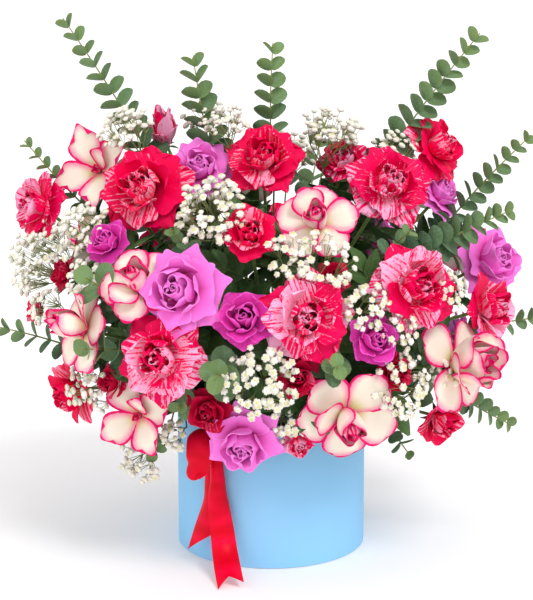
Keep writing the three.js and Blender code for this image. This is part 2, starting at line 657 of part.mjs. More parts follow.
// Rose head that faces +Z, with the end of its stem at the origin, put in its
// place and kept in its own room
function roseHead(stem) {
  const { petals, bud, tip } = stem.form;
  const { size } = stem;
  const borders = bordersOf(stem);
  const place = uprightBasis(direction(stem.face));
  place.setPosition(placeOn(stem.axis, stem.reach));
  const rim = petalRim(petals, size, stem.first, place, borders);
  const rings = [rim, throatRing(rim, size)];
  for (const [radius, height, lobe] of bud) {
    rings.push(rim.map((point, i) => {
      const turn = THREE.MathUtils.degToRad(stem.first + (360 * i) / rim.length - 180 / petals.count);
      const inset = i % (rim.length / petals.count) === 0 ? lobe : 0;
      const out = (radius - 0.4 * inset) * size;
      return new THREE.Vector3(out * Math.cos(turn), out * Math.sin(turn), (height - inset) * size);
    }));
  }
  const base = new THREE.Vector3(0, 0, ROSE_BODY.base * size);
  const geometry = ringedSolid(base, rings, new THREE.Vector3(0, 0, tip * size));
  let head = toSolid(geometry.applyMatrix4(place));
  for (const { inward, offset } of borders) head = head.trimByPlane(inward.toArray(), offset);
  return largestPiece(head);
}

for (const stem of allStems.filter((entry) => entry.kind === 'rose')) {
  stem.head = roseHead(stem);
}

// Straight stretches of all stems. The first stem of each node stands in the
// foam, and the others leave it as branches, at a place with a clear way.
const leaders = allStems.filter((stem) => groupMembers(stem.group)[0] === stem.name);

function groupMembers(group) {
  return ({ ...ROSE_GROUPS, ...SPRAY_GROUPS, ...TUFT_GROUPS })[group];
}

function neckOf(stem) {
  if (stem.kind === 'rose') return stem.reach;
  return stem.kind === 'spray' ? SPRAY_NECK * stem.reach : stem.reach - TUFT_NECK * stem.spread;
}

for (const stem of allStems) {
  const isLeader = leaders.includes(stem);
  const start = isLeader ? innerEnd(stem, leaders) : BRANCH.nearest;
  stem.start = start;
  stem.ways = [[placeOn(stem.axis, start), placeOn(stem.axis, neckOf(stem))]];
}

function distanceToWay(point, [from, to]) {
  const nearest = new THREE.Line3(from, to).closestPointToPoint(point, true, new THREE.Vector3());
  return nearest.distanceTo(point);
}

function wayIsClear(from, to, radius, group) {
  const others = allStems.filter((stem) => stem.group !== group);
  const steps = Math.ceil(from.distanceTo(to) / BRANCH.step);
  for (let i = 0; i <= steps; i += 1) {
    const point = from.clone().lerp(to, i / steps);
    const blocked = others.some((stem) => stem.ways.some(
      (way) => distanceToWay(point, way) < radius + stem.radius + BRANCH.clear,
    ));
    if (blocked) return false;
  }
  const thick = toSolid(rod(from, to, radius + GAP, 4));
  return !allStems.some((stem) => stem.head && touches(stem.head, thick));
}

function branchWays(member, placedMembers) {
  const end = placeOn(member.axis, neckOf(member));
  for (let far = BRANCH.nearest; far < BRANCH.furthest; far += BRANCH.step) {
    for (let near = BRANCH.nearest; near < BRANCH.furthest; near += BRANCH.step) {
      for (const carrier of placedMembers) {
        const fork = placeOn(carrier.axis, near);
        const bend = placeOn(member.axis, far);
        const reaches = near > carrier.start && near < neckOf(carrier);
        if (reaches && wayIsClear(fork, bend, member.radius, member.group)) {
          member.start = far;
          return [[fork, bend], [bend, end]];
        }
      }
    }
  }
  throw new Error(`no clear way for ${member.name}`);
}

for (const leader of leaders) {
  const placedMembers = [leader];
  for (const name of groupMembers(leader.group).slice(1)) {
    stems[name].ways = branchWays(stems[name], placedMembers);
    placedMembers.push(stems[name]);
  }
}

// Everything that is already placed, by node, so that later leaves and florets
// keep clear of it
const placed = [];

function place(group, solids) {
  for (const solid of solids) placed.push({ group, solid });
}

function isClear(solid, group) {
  return !placed.some((entry) => entry.group !== group && touches(entry.solid, solid));
}

for (const stem of allStems) {
  stem.solids = stem.ways.map(([from, to]) => toSolid(rod(from, to, stem.radius, stem.sides)));
  if (stem.head) stem.solids.push(stem.head);
  place(stem.group, stem.solids);
}

// Eucalyptus: a stalk that goes on from the stem to the tip, with pairs of round
// leaves. Long sprays spread their pairs to the two sides that show from the
// front, and short ones seen end on turn each pair crosswise.
function leafSolid(habit, at, along, side, length, thickness) {
  const tilt = THREE.MathUtils.degToRad(habit.tilt);
  const outward = side.clone().multiplyScalar(Math.sin(tilt)).addScaledVector(along, Math.cos(tilt));
  const face = along.clone().multiplyScalar(Math.sin(tilt)).addScaledVector(side, -Math.cos(tilt));
  const leaf = leafBlade(length, thickness);
  leaf.rotateX(THREE.MathUtils.degToRad(habit.roll));
  const basis = new THREE.Matrix4().makeBasis(outward, face.clone().cross(outward), face);
  basis.setPosition(at);
  leaf.applyMatrix4(basis);
  return toSolid(leaf);
}

function spraySolids(stem) {
  const from = placeOn(stem.axis, neckOf(stem) - SPRAY_STEM);
  const tip = placeOn(direction(stem.tip), stem.tip[2]);
  const along = tip.clone().sub(from).normalize();
  const habit = stem.pairs > 2 ? LONG_SPRAY : SHORT_SPRAY;
  const view = Math.abs(along.y) > 0.8 ? new THREE.Vector3(0, 0, 1) : new THREE.Vector3(0, -1, 0);
  const side = along.clone().cross(view).normalize();
  const basis = new THREE.Matrix4().makeBasis(side, along.clone().cross(side), along);
  const solids = [toSolid(rod(from, tip, STALK_GROWTH * SPRAY_STEM, stem.sides, basis))];
  for (let i = 0; i < stem.pairs; i += 1) {
    const t = habit.first + (habit.stretch * i) / (stem.pairs - 1);
    const at = from.clone().lerp(tip, t);
    const length = stem.leaf * (LEAF_GROWTH.base - LEAF_GROWTH.taper * t);
    for (const turn of [0, 180]) {
      const way = side.clone().applyAxisAngle(along, THREE.MathUtils.degToRad(i * habit.cross + turn));
      const room = leafSolid(habit, at, along, way, length * LEAF_ROOM.length, LEAF_ROOM.thickness);
      if (isClear(room, stem.group)) {
        solids.push(leafSolid(habit, at, along, way, length, LEAF_THICKNESS));
      }
    }
  }
  return solids;
}

for (const stem of allStems.filter((entry) => entry.kind === 'spray')) {
  const solids = spraySolids(stem);
  stem.solids.push(...solids);
  place(stem.group, solids);
}

// Gypsophila: a tuft of florets, each on a thin twig of its own that leaves the
// stem a little further out than the last
function floretSolid(from, to, growth) {
  const length = from.distanceTo(to);
  const twig = FLORET.twig * growth;
  const profile = [
    [0, 0],
    [twig, 0],
    [twig, length - FLORET.height],
    [FLORET.radius * growth, length],
    [0, length + FLORET.height * growth],
  ];
  const geometry = new THREE.LatheGeometry(profile.map(([r, z]) => new THREE.Vector2(r, z)), 3);
  geometry.rotateX(Math.PI / 2);
  geometry.applyMatrix4(uprightBasis(to.clone().sub(from).normalize()));
  geometry.translate(from.x, from.y, from.z);
  return toSolid(geometry);
}

function tuftSolids(stem, random) {
  const middle = placeOn(stem.axis, stem.reach);
  const x = new THREE.Vector3();
  const y = new THREE.Vector3();
  uprightBasis(stem.axis).extractBasis(x, y, new THREE.Vector3());
  const solids = [];
  for (let i = 0; i < stem.florets; i += 1) {
    const fork = placeOn(stem.axis, neckOf(stem) - 1 - TWIG_SPACING * (stem.florets - 1 - i));
    const angle = TUFT.turn * i + random();
    const across = stem.spread * Math.sqrt(1 - (i + TUFT.middle) / stem.florets);
    const spot = middle.clone();
    spot.addScaledVector(x, across * Math.cos(angle)).addScaledVector(y, across * Math.sin(angle));
    spot.addScaledVector(stem.axis, TUFT.scatter * random() - TUFT.sink * across);
    for (const lift of TUFT.lifts) {
      const end = spot.clone().addScaledVector(stem.axis, lift);
      if (isClear(floretSolid(fork, end, FLORET.room), stem.group)) {
        solids.push(floretSolid(fork, end, 1));
        break;
      }
    }
  }
  return solids;
}

const random = randomSource(11);
for (const stem of allStems.filter((entry) => entry.kind === 'tuft')) {
  const solids = tuftSolids(stem, random);
  stem.solids.push(...solids);
  place(stem.group, solids);
}

// The box, its liner and the foam block
function ring(outer, inner, from, to, sides) {
  const corners = [[inner, from], [outer, from], [outer, to], [inner, to], [inner, from]];
  const geometry = new THREE.LatheGeometry(corners.map(([r, z]) => new THREE.Vector2(r, z)), sides);
  geometry.rotateX(Math.PI / 2);
  return geometry;
}

const innerRadius = BOX.radius - BOX.wall;
const linerRadius = innerRadius - 2 * GAP;
const linerFloor = BOX.base + GAP;
const foamRadius = linerRadius - LINER.wall - 2 * GAP;
const foamFloor = linerFloor + LINER.wall + GAP;

function baseDisc() {
  const geometry = new THREE.CylinderGeometry(innerRadius - GAP, innerRadius - GAP, BOX.base, BOX.sides);
  geometry.rotateX(Math.PI / 2);
  geometry.translate(0, 0, BOX.base / 2);
  return geometry;
}

function linerCup() {
  const inside = linerRadius - LINER.wall;
  const floor = linerFloor + LINER.wall;
  const rim = linerFloor + LINER.height;
  const corners = [
    [0, linerFloor],
    [linerRadius, linerFloor],
    [linerRadius, rim],
    [inside, rim],
    [inside, floor],
    [0, floor],
  ];
  const geometry = new THREE.LatheGeometry(corners.map(([r, z]) => new THREE.Vector2(r, z)), BOX.sides);
  geometry.rotateX(Math.PI / 2);
  return geometry;
}

function foamBlock() {
  const rise = FOAM.top - FOAM.shoulder;
  const dome = FOAM.bends.map(([out, up]) => [out * foamRadius, FOAM.shoulder + up * rise]);
  const corners = [[0, foamFloor], [foamRadius, foamFloor], ...dome];
  const geometry = new THREE.LatheGeometry(corners.map(([r, z]) => new THREE.Vector2(r, z)), FOAM.sides);
  geometry.rotateX(Math.PI / 2);
  let foam = toSolid(geometry);
  for (const stem of leaders) {
    const from = placeOn(stem.axis, stem.start - GAP);
    const to = placeOn(stem.axis, BRANCH.nearest);
    const radius = stem.radius + GAP / Math.cos(Math.PI / stem.sides);
    foam = foam.subtract(toSolid(rod(from, to, radius, stem.sides)));
  }
  return toGeometry(foam);
}

// Place and directions of a ribbon at a part of its length
function ribbonFrame(stations, part) {
  const places = new THREE.CatmullRomCurve3(stations.map(({ at }) => new THREE.Vector3(...at)));
  const faces = new THREE.CatmullRomCurve3(stations.map(({ face }) => new THREE.Vector3(...face)));
  const along = places.getTangent(part);
  const across = along.clone().cross(faces.getPoint(part)).normalize();
  const up = across.clone().cross(along);
  return { at: places.getPoint(part), along, across, up };
}

function ribbonSpread(stations, part) {
  const position = part * (stations.length - 1);
  const low = Math.min(Math.floor(position), stations.length - 2);
  return THREE.MathUtils.lerp(stations[low].spread, stations[low + 1].spread, position - low);
}

// Strip of ribbon with a rectangular section
function ribbonStrip(stations) {
  const steps = Math.round(RIBBON.fineness * (stations.length - 1));
  const rings = [];
  for (let i = 0; i <= steps; i += 1) {
    const { at, across, up } = ribbonFrame(stations, i / steps);
    const half = 0.5 * RIBBON.width * ribbonSpread(stations, i / steps);
    const corners = [[1, 1], [1, -1], [-1, -1], [-1, 1]];
    rings.push(corners.map(([side, top]) => at.clone()
      .addScaledVector(across, side * half)
      .addScaledVector(up, 0.5 * top * RIBBON.thickness)));
  }
  return toSolid(ringedSolid(ribbonFrame(stations, 0).at, rings, ribbonFrame(stations, 1).at));
}

// Wedge that cuts a swallow tail into the end of a strip
function swallowTail(stations) {
  const { at, along, across, up } = ribbonFrame(stations, 1);
  const { depth, reach } = SWALLOW_TAIL;
  const half = 0.5 * RIBBON.width * (1 + reach / depth);
  const rings = [-reach, reach].map((lift) => [[0, -depth], [half, reach], [-half, reach]].map(
    ([side, ahead]) => at.clone()
      .addScaledVector(across, side)
      .addScaledVector(along, ahead)
      .addScaledVector(up, lift),
  ));
  const middles = [-reach, reach].map((lift) => at.clone().addScaledVector(up, lift));
  return toSolid(ringedSolid(middles[0], rings, middles[1]));
}

function leftTail() {
  const edge = LEFT_CUT.inner.clone().sub(LEFT_CUT.tip);
  const kept = new THREE.Vector3(-edge.z, 0, edge.x).normalize();
  return ribbonStrip(LEFT_TAIL).trimByPlane(kept.toArray(), kept.dot(LEFT_CUT.tip));
}

function ribbonBow() {
  const knot = new THREE.SphereGeometry(RIBBON.knot, 6, 4);
  knot.scale(RIBBON.knotStretch, 1, 1);
  knot.rotateZ(Math.atan2(RIBBON_KNOT.y, RIBBON_KNOT.x) + Math.PI / 2);
  knot.translate(RIBBON_KNOT.x, RIBBON_KNOT.y, RIBBON_KNOT.z);
  const rightTail = ribbonStrip(RIGHT_TAIL).subtract(swallowTail(RIGHT_TAIL));
  const bow = union([toSolid(knot), ribbonStrip(LOOP), leftTail(), rightTail]);
  return outerShell(bow.simplify(JOIN_TOLERANCE));
}

// The finished group of pieces
const group = new THREE.Group();

function addPiece(name, geometry, finish) {
  const mesh = new THREE.Mesh(geometry, new THREE.MeshStandardMaterial({ ...finish, metalness: 0 }));
  mesh.name = name;
  group.add(mesh);
}

function addGroups(groups, finishOf) {
  for (const [name, members] of Object.entries(groups)) {
    const solid = union(members.flatMap((member) => stems[member].solids));
    addPiece(name, weld(outerShell(solid.simplify(JOIN_TOLERANCE))), finishOf(name));
  }
}

function roseFinish(name) {
  const colour = ['white', 'lilac', 'striped'].find((word) => name.includes(word));
  return FINISH[colour ?? 'crimson'];
}

addPiece('box_wall', ring(BOX.radius, innerRadius, 0, BOX.height, BOX.sides), FINISH.box);
addPiece('box_base', baseDisc(), FINISH.box);
addPiece('liner', linerCup(), FINISH.liner);
addPiece('foam', foamBlock(), FINISH.foam);
addPiece('ribbon_bow', weld(ribbonBow()), FINISH.ribbon);
addGroups(ROSE_GROUPS, roseFinish);
addGroups(SPRAY_GROUPS, () => FINISH.eucalyptus);
addGroups(TUFT_GROUPS, () => FINISH.gypsophila);

export default group;
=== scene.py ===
"""Looks of a round flower box: roses, eucalyptus and gypsophila in a hat box with a satin bow.

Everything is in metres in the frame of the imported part: +Z up, -Y towards the side that is meant to be seen.
"""

from __future__ import annotations

import sys
import json
import logging
import math
import random
from collections.abc import Callable, Iterable
from dataclasses import dataclass, field, replace
from enum import Enum

import bmesh
import bpy
from mathutils import Matrix, Vector

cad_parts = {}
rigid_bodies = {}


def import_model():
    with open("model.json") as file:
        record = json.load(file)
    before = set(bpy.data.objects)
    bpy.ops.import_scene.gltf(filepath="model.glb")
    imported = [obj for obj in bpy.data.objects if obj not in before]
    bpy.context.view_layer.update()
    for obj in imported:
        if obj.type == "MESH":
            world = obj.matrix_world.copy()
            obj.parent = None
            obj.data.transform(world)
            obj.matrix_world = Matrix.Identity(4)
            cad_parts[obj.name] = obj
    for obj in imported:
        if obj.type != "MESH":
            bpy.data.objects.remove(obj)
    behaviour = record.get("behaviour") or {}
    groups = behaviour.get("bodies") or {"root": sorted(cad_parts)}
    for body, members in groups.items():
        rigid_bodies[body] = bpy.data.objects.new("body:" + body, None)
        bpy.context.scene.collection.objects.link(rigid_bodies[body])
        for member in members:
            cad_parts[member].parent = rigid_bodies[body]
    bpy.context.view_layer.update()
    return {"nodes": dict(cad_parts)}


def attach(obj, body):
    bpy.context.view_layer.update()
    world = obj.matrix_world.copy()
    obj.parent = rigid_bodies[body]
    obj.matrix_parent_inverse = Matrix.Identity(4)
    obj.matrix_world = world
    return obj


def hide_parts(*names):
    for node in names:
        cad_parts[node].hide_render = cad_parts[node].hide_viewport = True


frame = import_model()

log = logging.getLogger("flower_box")

Triple = tuple[float, float, float]
Colour = Triple
Pair = tuple[float, float]
Surface = Callable[[float, float], tuple[Vector, Vector]]
Socket = bpy.types.NodeSocket

MM = 0.001

# The stems meet near the heart of the bouquet, and the heads are on a dome round it.
HEART = Vector((0.0, 0.0, 0.165))
DOME_CENTRE = Vector((0.0, 0.0, 0.232))
DOME_HALF = Vector((0.215, 0.180, 0.142))
STEM_START = 0.045
FORK = 0.096
REJOIN = 0.150
ROOT = "root"


def direction(bearing: float, rise: float) -> Vector:
    """Unit vector at a bearing from the front and a rise above level.

    Args:
        bearing: degrees from -Y towards +X.
        rise: degrees above level.

    Returns:
        The unit vector.
    """
    b, r = math.radians(bearing), math.radians(rise)
    return Vector((math.sin(b) * math.cos(r), -math.cos(b) * math.cos(r), math.sin(r)))


def around(angle: float, radius: float, height: float) -> Vector:
    """Point at an angle in radians, a radius and a height round the z axis."""
    return Vector((radius * math.cos(angle), radius * math.sin(angle), height))


def dome_reach(axis: Vector) -> float:
    """Distance from the heart of the bouquet to its dome.

    Args:
        axis: unit vector from the heart.

    Returns:
        The distance in metres.
    """
    d = Vector(a / h for a, h in zip(axis, DOME_HALF))
    o = Vector(p / h for p, h in zip(HEART - DOME_CENTRE, DOME_HALF))
    a, b, c = d.dot(d), d.dot(o), o.dot(o) - 1.0
    return (-b + math.sqrt(b * b - a * c)) / a


def upright(z: Vector, origin: Vector) -> Matrix:
    """Frame whose z axis is given and whose y axis is as upright as it can be.

    Args:
        z: unit vector.
        origin: where the frame stands.

    Returns:
        A rigid 4x4 matrix.
    """
    up = Vector((0.0, 1.0, 0.0)) if abs(z.z) > 0.98 else Vector((0.0, 0.0, 1.0))
    x = up.cross(z).normalized()
    made = Matrix((x, z.cross(x), z)).transposed().to_4x4()
    made.translation = origin
    return made


def srgb(red: int, green: int, blue: int) -> Colour:
    """Linear colour of a screen colour.

    Args:
        red: from 0 to 255.
        green: from 0 to 255.
        blue: from 0 to 255.

    Returns:
        The three linear channels.
    """
    return tuple(
        c / 12.92 if c <= 0.04045 else ((c + 0.055) / 1.055) ** 2.4
        for c in (red / 255, green / 255, blue / 255)
    )


class Shader:
    """Adds nodes to one new material and joins them."""

    def __init__(self, name: str) -> None:
        """Starts a material with a Principled shader.

        Args:
            name: the material's name.
        """
        self.material = bpy.data.materials.new(name)
        self.material.use_nodes = True
        self.tree = self.material.node_tree
        self.surface = self.tree.nodes["Principled BSDF"]

    def node(self, kind: str, **settings: object) -> bpy.types.Node:
        """Adds a node and sets its properties.

        Args:
            kind: the node's type name without its ShaderNode prefix.
            settings: properties of the node.

        Returns:
            The node.
        """
        made = self.tree.nodes.new("ShaderNode" + kind)
        for key, value in settings.items():
            setattr(made, key, value)
        return made

    def join(self, source: Socket, target: Socket) -> None:
        """Links an output to an input."""
        self.tree.links.new(source, target)

    def attribute(self, name: str) -> bpy.types.Node:
        """Reads a vertex layer.

        Args:
            name: the layer's name.

        Returns:
            A node that gives the layer's three numbers.
        """
        read = self.node("Attribute", attribute_name=name)
        parts = self.node("SeparateXYZ")
        self.join(read.outputs["Vector"], parts.inputs[0])
        return parts

    def maths(self, operation: str, first: object, second: object = 0.0) -> Socket:
        """Math node of two numbers or sockets.

        Args:
            operation: the node's operation.
            first: number or socket.
            second: number or socket.

        Returns:
            The result's socket.
        """
        made = self.node("Math", operation=operation)
        for i, value in enumerate((first, second)):
            if isinstance(value, Socket):
                self.join(value, made.inputs[i])
            else:
                made.inputs[i].default_value = value
        return made.outputs[0]

    def between(self, value: Socket, low: float, high: float) -> Socket:
        """Smooth step of a value.

        Args:
            value: what is read.
            low: where the step is 0.
            high: where it is 1.

        Returns:
            The step's socket.
        """
        made = self.node("MapRange", interpolation_type="SMOOTHSTEP")
        self.join(value, made.inputs["Value"])
        made.inputs["From Min"].default_value = low
        made.inputs["From Max"].default_value = high
        return made.outputs["Result"]

    def mix(self, share: object, first: object, second: object, blend: str = "MIX") -> Socket:
        """Mixes two colours.

        Args:
            share: number or socket, how much of the second.
            first: colour or socket.
            second: colour or socket.
            blend: the mix node's blend type.

        Returns:
            The result's socket.
        """
        made = self.node("Mix", data_type="RGBA", blend_type=blend)
        for socket, value in ((made.inputs[0], share), (made.inputs[6], first), (made.inputs[7], second)):
            if isinstance(value, Socket):
                self.join(value, socket)
            elif isinstance(value, tuple):
                socket.default_value = (*value, 1.0)
            else:
                socket.default_value = value
        return made.outputs[2]

    def noise(self, vector: Socket, scale: float, detail: float = 2.0,
              seed: Socket | None = None) -> Socket:
        """Noise over a vector, and over a seed where one is given.

        Args:
            vector: the place that is read.
            scale: how fine the noise is.
            detail: octaves.
            seed: fourth coordinate.

        Returns:
            The socket with values from 0 to 1.
        """
        made = self.node("TexNoise", noise_dimensions="3D" if seed is None else "4D")
        made.inputs["Scale"].default_value = scale
        made.inputs["Detail"].default_value = detail
        self.join(vector, made.inputs["Vector"])
        if seed is not None:
            self.join(seed, made.inputs["W"])
        return made.outputs["Fac"]

    def times(self, first: object, second: object) -> Socket:
        """Product of two numbers or sockets."""
        return self.maths("MULTIPLY", first, second)

    def plus(self, first: object, second: object) -> Socket:
        """Sum of two numbers or sockets."""
        return self.maths("ADD", first, second)

    def minus(self, first: object, second: object) -> Socket:
        """Difference of two numbers or sockets."""
        return self.maths("SUBTRACT", first, second)

    def stretched(self, first: Socket, second: Socket, factors: Pair) -> Socket:
        """Vector of two numbers, each times its factor.

        Args:
            first: the vector's x before its factor.
            second: its y before its factor.
            factors: of the two.

        Returns:
            The vector's socket.
        """
        made = self.node("CombineXYZ")
        for i, value in enumerate((first, second)):
            self.join(self.times(value, factors[i]), made.inputs[i])
        return made.outputs[0]

    def shaded(self, colour: object, shade: Socket, darkest: float) -> Socket:
        """Darkens a colour by a shade.

        Args:
            colour: colour or socket.
            shade: 0 for the darkest, 1 for the colour as it is.
            darkest: the part of the colour that is left at 0.

        Returns:
            The darkened colour's socket.
        """
        grey = self.node("CombineColor")
        light = self.plus(darkest, self.times(shade, 1.0 - darkest))
        for socket in grey.inputs[:3]:
            self.join(light, socket)
        return self.mix(1.0, colour, grey.outputs[0], "MULTIPLY")

    def objects(self) -> Socket:
        """Object coordinates, which are places in the part's frame."""
        return self.node("TexCoord").outputs["Object"]

    def bump(self, height: Socket, strength: float, distance: float) -> None:
        """Bumps the surface.

        Args:
            height: from 0 to 1.
            strength: of the bump.
            distance: its depth in metres.
        """
        made = self.node("Bump")
        made.inputs["Strength"].default_value = strength
        made.inputs["Distance"].default_value = distance
        self.join(height, made.inputs["Height"])
        self.join(made.outputs["Normal"], self.surface.inputs["Normal"])

    def paint(self, colour: object) -> None:
        """Gives the surface its colour.

        Args:
            colour: colour or socket.
        """
        if isinstance(colour, tuple):
            self.surface.inputs["Base Color"].default_value = (*colour, 1.0)
        else:
            self.join(colour, self.surface.inputs["Base Color"])

    def set(self, **values: float) -> None:
        """Sets sockets of the surface that are the same all over it."""
        for key, value in values.items():
            self.surface.inputs[key.replace("_", " ").title().replace("Ior", "IOR")].default_value = value


@dataclass(frozen=True)
class Look:
    """A finish: the name of its material and, in each kind of finish, its nodes."""

    name: str

    def apply(self, s: Shader) -> None:
        """Adds the nodes to a new material."""
        raise NotImplementedError

    def material(self) -> bpy.types.Material:
        """Gives the material, which is made once.

        Returns:
            The material.
        """
        made = bpy.data.materials.get(self.name)
        if made is None:
            shader = Shader(self.name)
            self.apply(shader)
            made = shader.material
        return made


@dataclass(frozen=True)
class PetalFinish(Look):
    """Petal: a foot, a face with veins and streaks, and a margin. A deep foot colour is partly the petal's own
    and partly painted shade between petals. Widths are in millimetres.
    """

    foot: Colour
    face: Colour
    pale: Colour
    margin: Colour
    margin_width: float = 0.0
    foot_length: Pair = (0.05, 0.4)
    streaks: float = 0.0
    flush: Colour | None = None
    roughness: float = 0.55

    def apply(self, s: Shader) -> None:
        """Adds the nodes.

        Args:
            s: the new material's shader.
        """
        place, tone = s.attribute("place"), s.attribute("tone")
        across, along, rim = place.outputs
        part, shade, age = tone.outputs
        seed = s.times(shade, 41.0)
        veins = s.noise(s.stretched(across, along, (0.9, 0.07)), 1.0, 3.0, seed)
        # Foot to face: the foot colour is the petal's own colour at its base; where it is deep (lilac, violet,
        # crimson, dark) it is partly painted shade between overlapping petals.
        colour = s.mix(s.between(part, *self.foot_length), self.foot, self.face)
        if self.streaks > 0.0:
            bands = s.noise(s.stretched(across, along, (0.45, 0.04)), 1.0, 2.0, seed)
            flecks = s.noise(s.stretched(across, along, (1.3, 0.3)), 1.0, 2.0, seed)
            mark = s.plus(bands, s.times(flecks, 0.5))
            mark = s.plus(mark, s.times(s.minus(shade, 0.5), 0.34))
            middle = 0.98 - 0.2 * self.streaks
            colour = s.mix(s.between(mark, middle - 0.07, middle + 0.07), colour, self.pale)
        else:
            colour = s.mix(s.times(s.between(veins, 0.45, 0.75), 0.25), colour, self.pale)
        ragged = s.minus(rim, s.times(s.noise(s.objects(), 260.0, 3.0), 2.2))
        if self.flush is not None:
            near = s.times(s.between(ragged, 9.0, 0.5), 0.85)
            tips = s.times(s.between(part, 0.55, 1.0), s.between(age, 0.3, 0.9))
            colour = s.mix(s.maths("MAXIMUM", near, tips), colour, self.flush)
        if self.margin_width > 0.0:
            limit = self.margin_width - 1.1
            colour = s.mix(s.between(ragged, limit + 0.6, limit - 0.5), colour, self.margin)
        s.paint(s.shaded(colour, shade, 0.9))
        s.bump(veins, 0.25, 0.6 * MM)
        s.set(roughness=self.roughness, specular_ior_level=0.12)


@dataclass(frozen=True)
class LeafFinish(Look):
    """Leaf: a body colour that is paler at its tip, a midrib and a waxy bloom."""

    body: Colour
    young: Colour
    rib: Colour
    bloom: float = 0.0
    roughness: float = 0.5

    def apply(self, s: Shader) -> None:
        """Adds the nodes.

        Args:
            s: the new material's shader.
        """
        place, tone = s.attribute("place"), s.attribute("tone")
        across, along, _ = place.outputs
        _, shade, youth = tone.outputs
        colour = s.mix(youth, self.body, self.young)
        patches = s.noise(s.objects(), 120.0, 3.0)
        colour = s.mix(s.times(s.between(patches, 0.4, 0.75), 0.35 + self.bloom), colour, self.rib)
        side = s.maths("ABSOLUTE", across)
        veins = s.maths("SINE", s.minus(s.times(along, 1.5), s.times(side, 1.1)))
        colour = s.mix(s.times(s.between(veins, 0.8, 1.0), 0.3), colour, self.rib)
        colour = s.mix(s.times(s.between(side, 0.55, 0.15), 0.7), colour, self.rib)
        s.paint(s.shaded(colour, shade, 0.75))
        s.bump(veins, 0.2, 0.4 * MM)
        s.set(roughness=self.roughness, specular_ior_level=0.35)


@dataclass(frozen=True)
class StemFinish(Look):
    """Stem: green that turns to another colour towards its tip, with fine lengthwise grain."""

    low: Colour
    high: Colour

    def apply(self, s: Shader) -> None:
        """Adds the nodes.

        Args:
            s: the new material's shader.
        """
        tone = s.attribute("tone")
        patches = s.noise(s.objects(), 90.0, 2.0)
        share = s.plus(tone.outputs[0], s.times(s.minus(patches, 0.5), 0.8))
        s.paint(s.mix(s.between(share, 0.2, 0.9), self.low, self.high))
        s.bump(s.noise(s.objects(), 900.0, 2.0), 0.2, 0.2 * MM)
        s.set(roughness=0.6)


@dataclass(frozen=True)
class FloretFinish(Look):
    """Floret: white petals round a cream-green centre, over a green cup."""

    petals: Colour
    centre: Colour
    cup: Colour

    def apply(self, s: Shader) -> None:
        """Adds the nodes.

        Args:
            s: the new material's shader.
        """
        part, shade, _ = s.attribute("tone").outputs
        colour = s.mix(s.between(part, 0.02, 0.3), self.cup, self.petals)
        warm = s.times(s.between(part, 0.78, 1.0), s.between(shade, 0.0, 0.7))
        colour = s.mix(warm, colour, self.centre)
        s.paint(colour)
        s.bump(s.noise(s.objects(), 1400.0, 2.0), 0.3, 0.3 * MM)
        s.set(roughness=0.7, specular_ior_level=0.25)


@dataclass(frozen=True)
class PaperFinish(Look):
    """Matte coloured paper over board, with a faint fibre grain of pale flecks and soft blotches of a slightly
    deeper blue.
    """

    face: Colour
    deep: Colour

    def apply(self, s: Shader) -> None:
        """Adds the nodes.

        Args:
            s: the new material's shader.
        """
        at = s.objects()
        cloud = s.noise(at, 14.0, 3.0)
        fibres = s.noise(at, 1500.0, 3.0)
        colour = s.mix(s.between(cloud, 0.35, 0.75), self.face, self.deep)
        colour = s.mix(s.times(s.between(fibres, 0.5, 0.8), 0.12), colour, (1.0, 1.0, 1.0))
        s.paint(colour)
        s.bump(fibres, 0.12, 0.15 * MM)
        s.set(roughness=0.62, specular_ior_level=0.35)


@dataclass(frozen=True)
class SatinFinish(Look):
    """Satin ribbon: fine crosswise threads, and a long sheen painted as slow streaks of a lighter red."""

    face: Colour
    # light: the lighter red of the painted sheen, also used on the hem.
    light: Colour

    def apply(self, s: Shader) -> None:
        """Adds the nodes.

        Args:
            s: the new material's shader.
        """
        across, along, rim = s.attribute("place").outputs
        threads = s.maths("SINE", s.times(along, 14.0))
        # Painted highlight and shade: slow lengthwise streaks of the lighter red stand in for the satin's
        # sheen and the light and shade of its folds.
        painted_sheen_mask = s.noise(s.stretched(across, along, (0.02, 0.05)), 1.0, 1.0)
        colour = s.mix(s.between(painted_sheen_mask, 0.35, 0.7), self.face, self.light)
        hem = s.times(s.between(rim, 0.9, 0.3), 0.25)
        s.paint(s.mix(hem, colour, self.light))
        s.bump(threads, 0.08, 0.08 * MM)
        s.set(roughness=0.38, specular_ior_level=0.1)


@dataclass(frozen=True)
class PlainFinish(Look):
    """Moulded plastic or foam: one colour with cells and grain."""

    face: Colour
    deep: Colour
    grain: float
    relief: float
    roughness: float

    def apply(self, s: Shader) -> None:
        """Adds the nodes.

        Args:
            s: the new material's shader.
        """
        cells = s.noise(s.objects(), self.grain, 4.0)
        s.paint(s.mix(s.between(cells, 0.35, 0.7), self.face, self.deep))
        s.bump(cells, self.relief, 0.5 * MM)
        s.set(roughness=self.roughness)


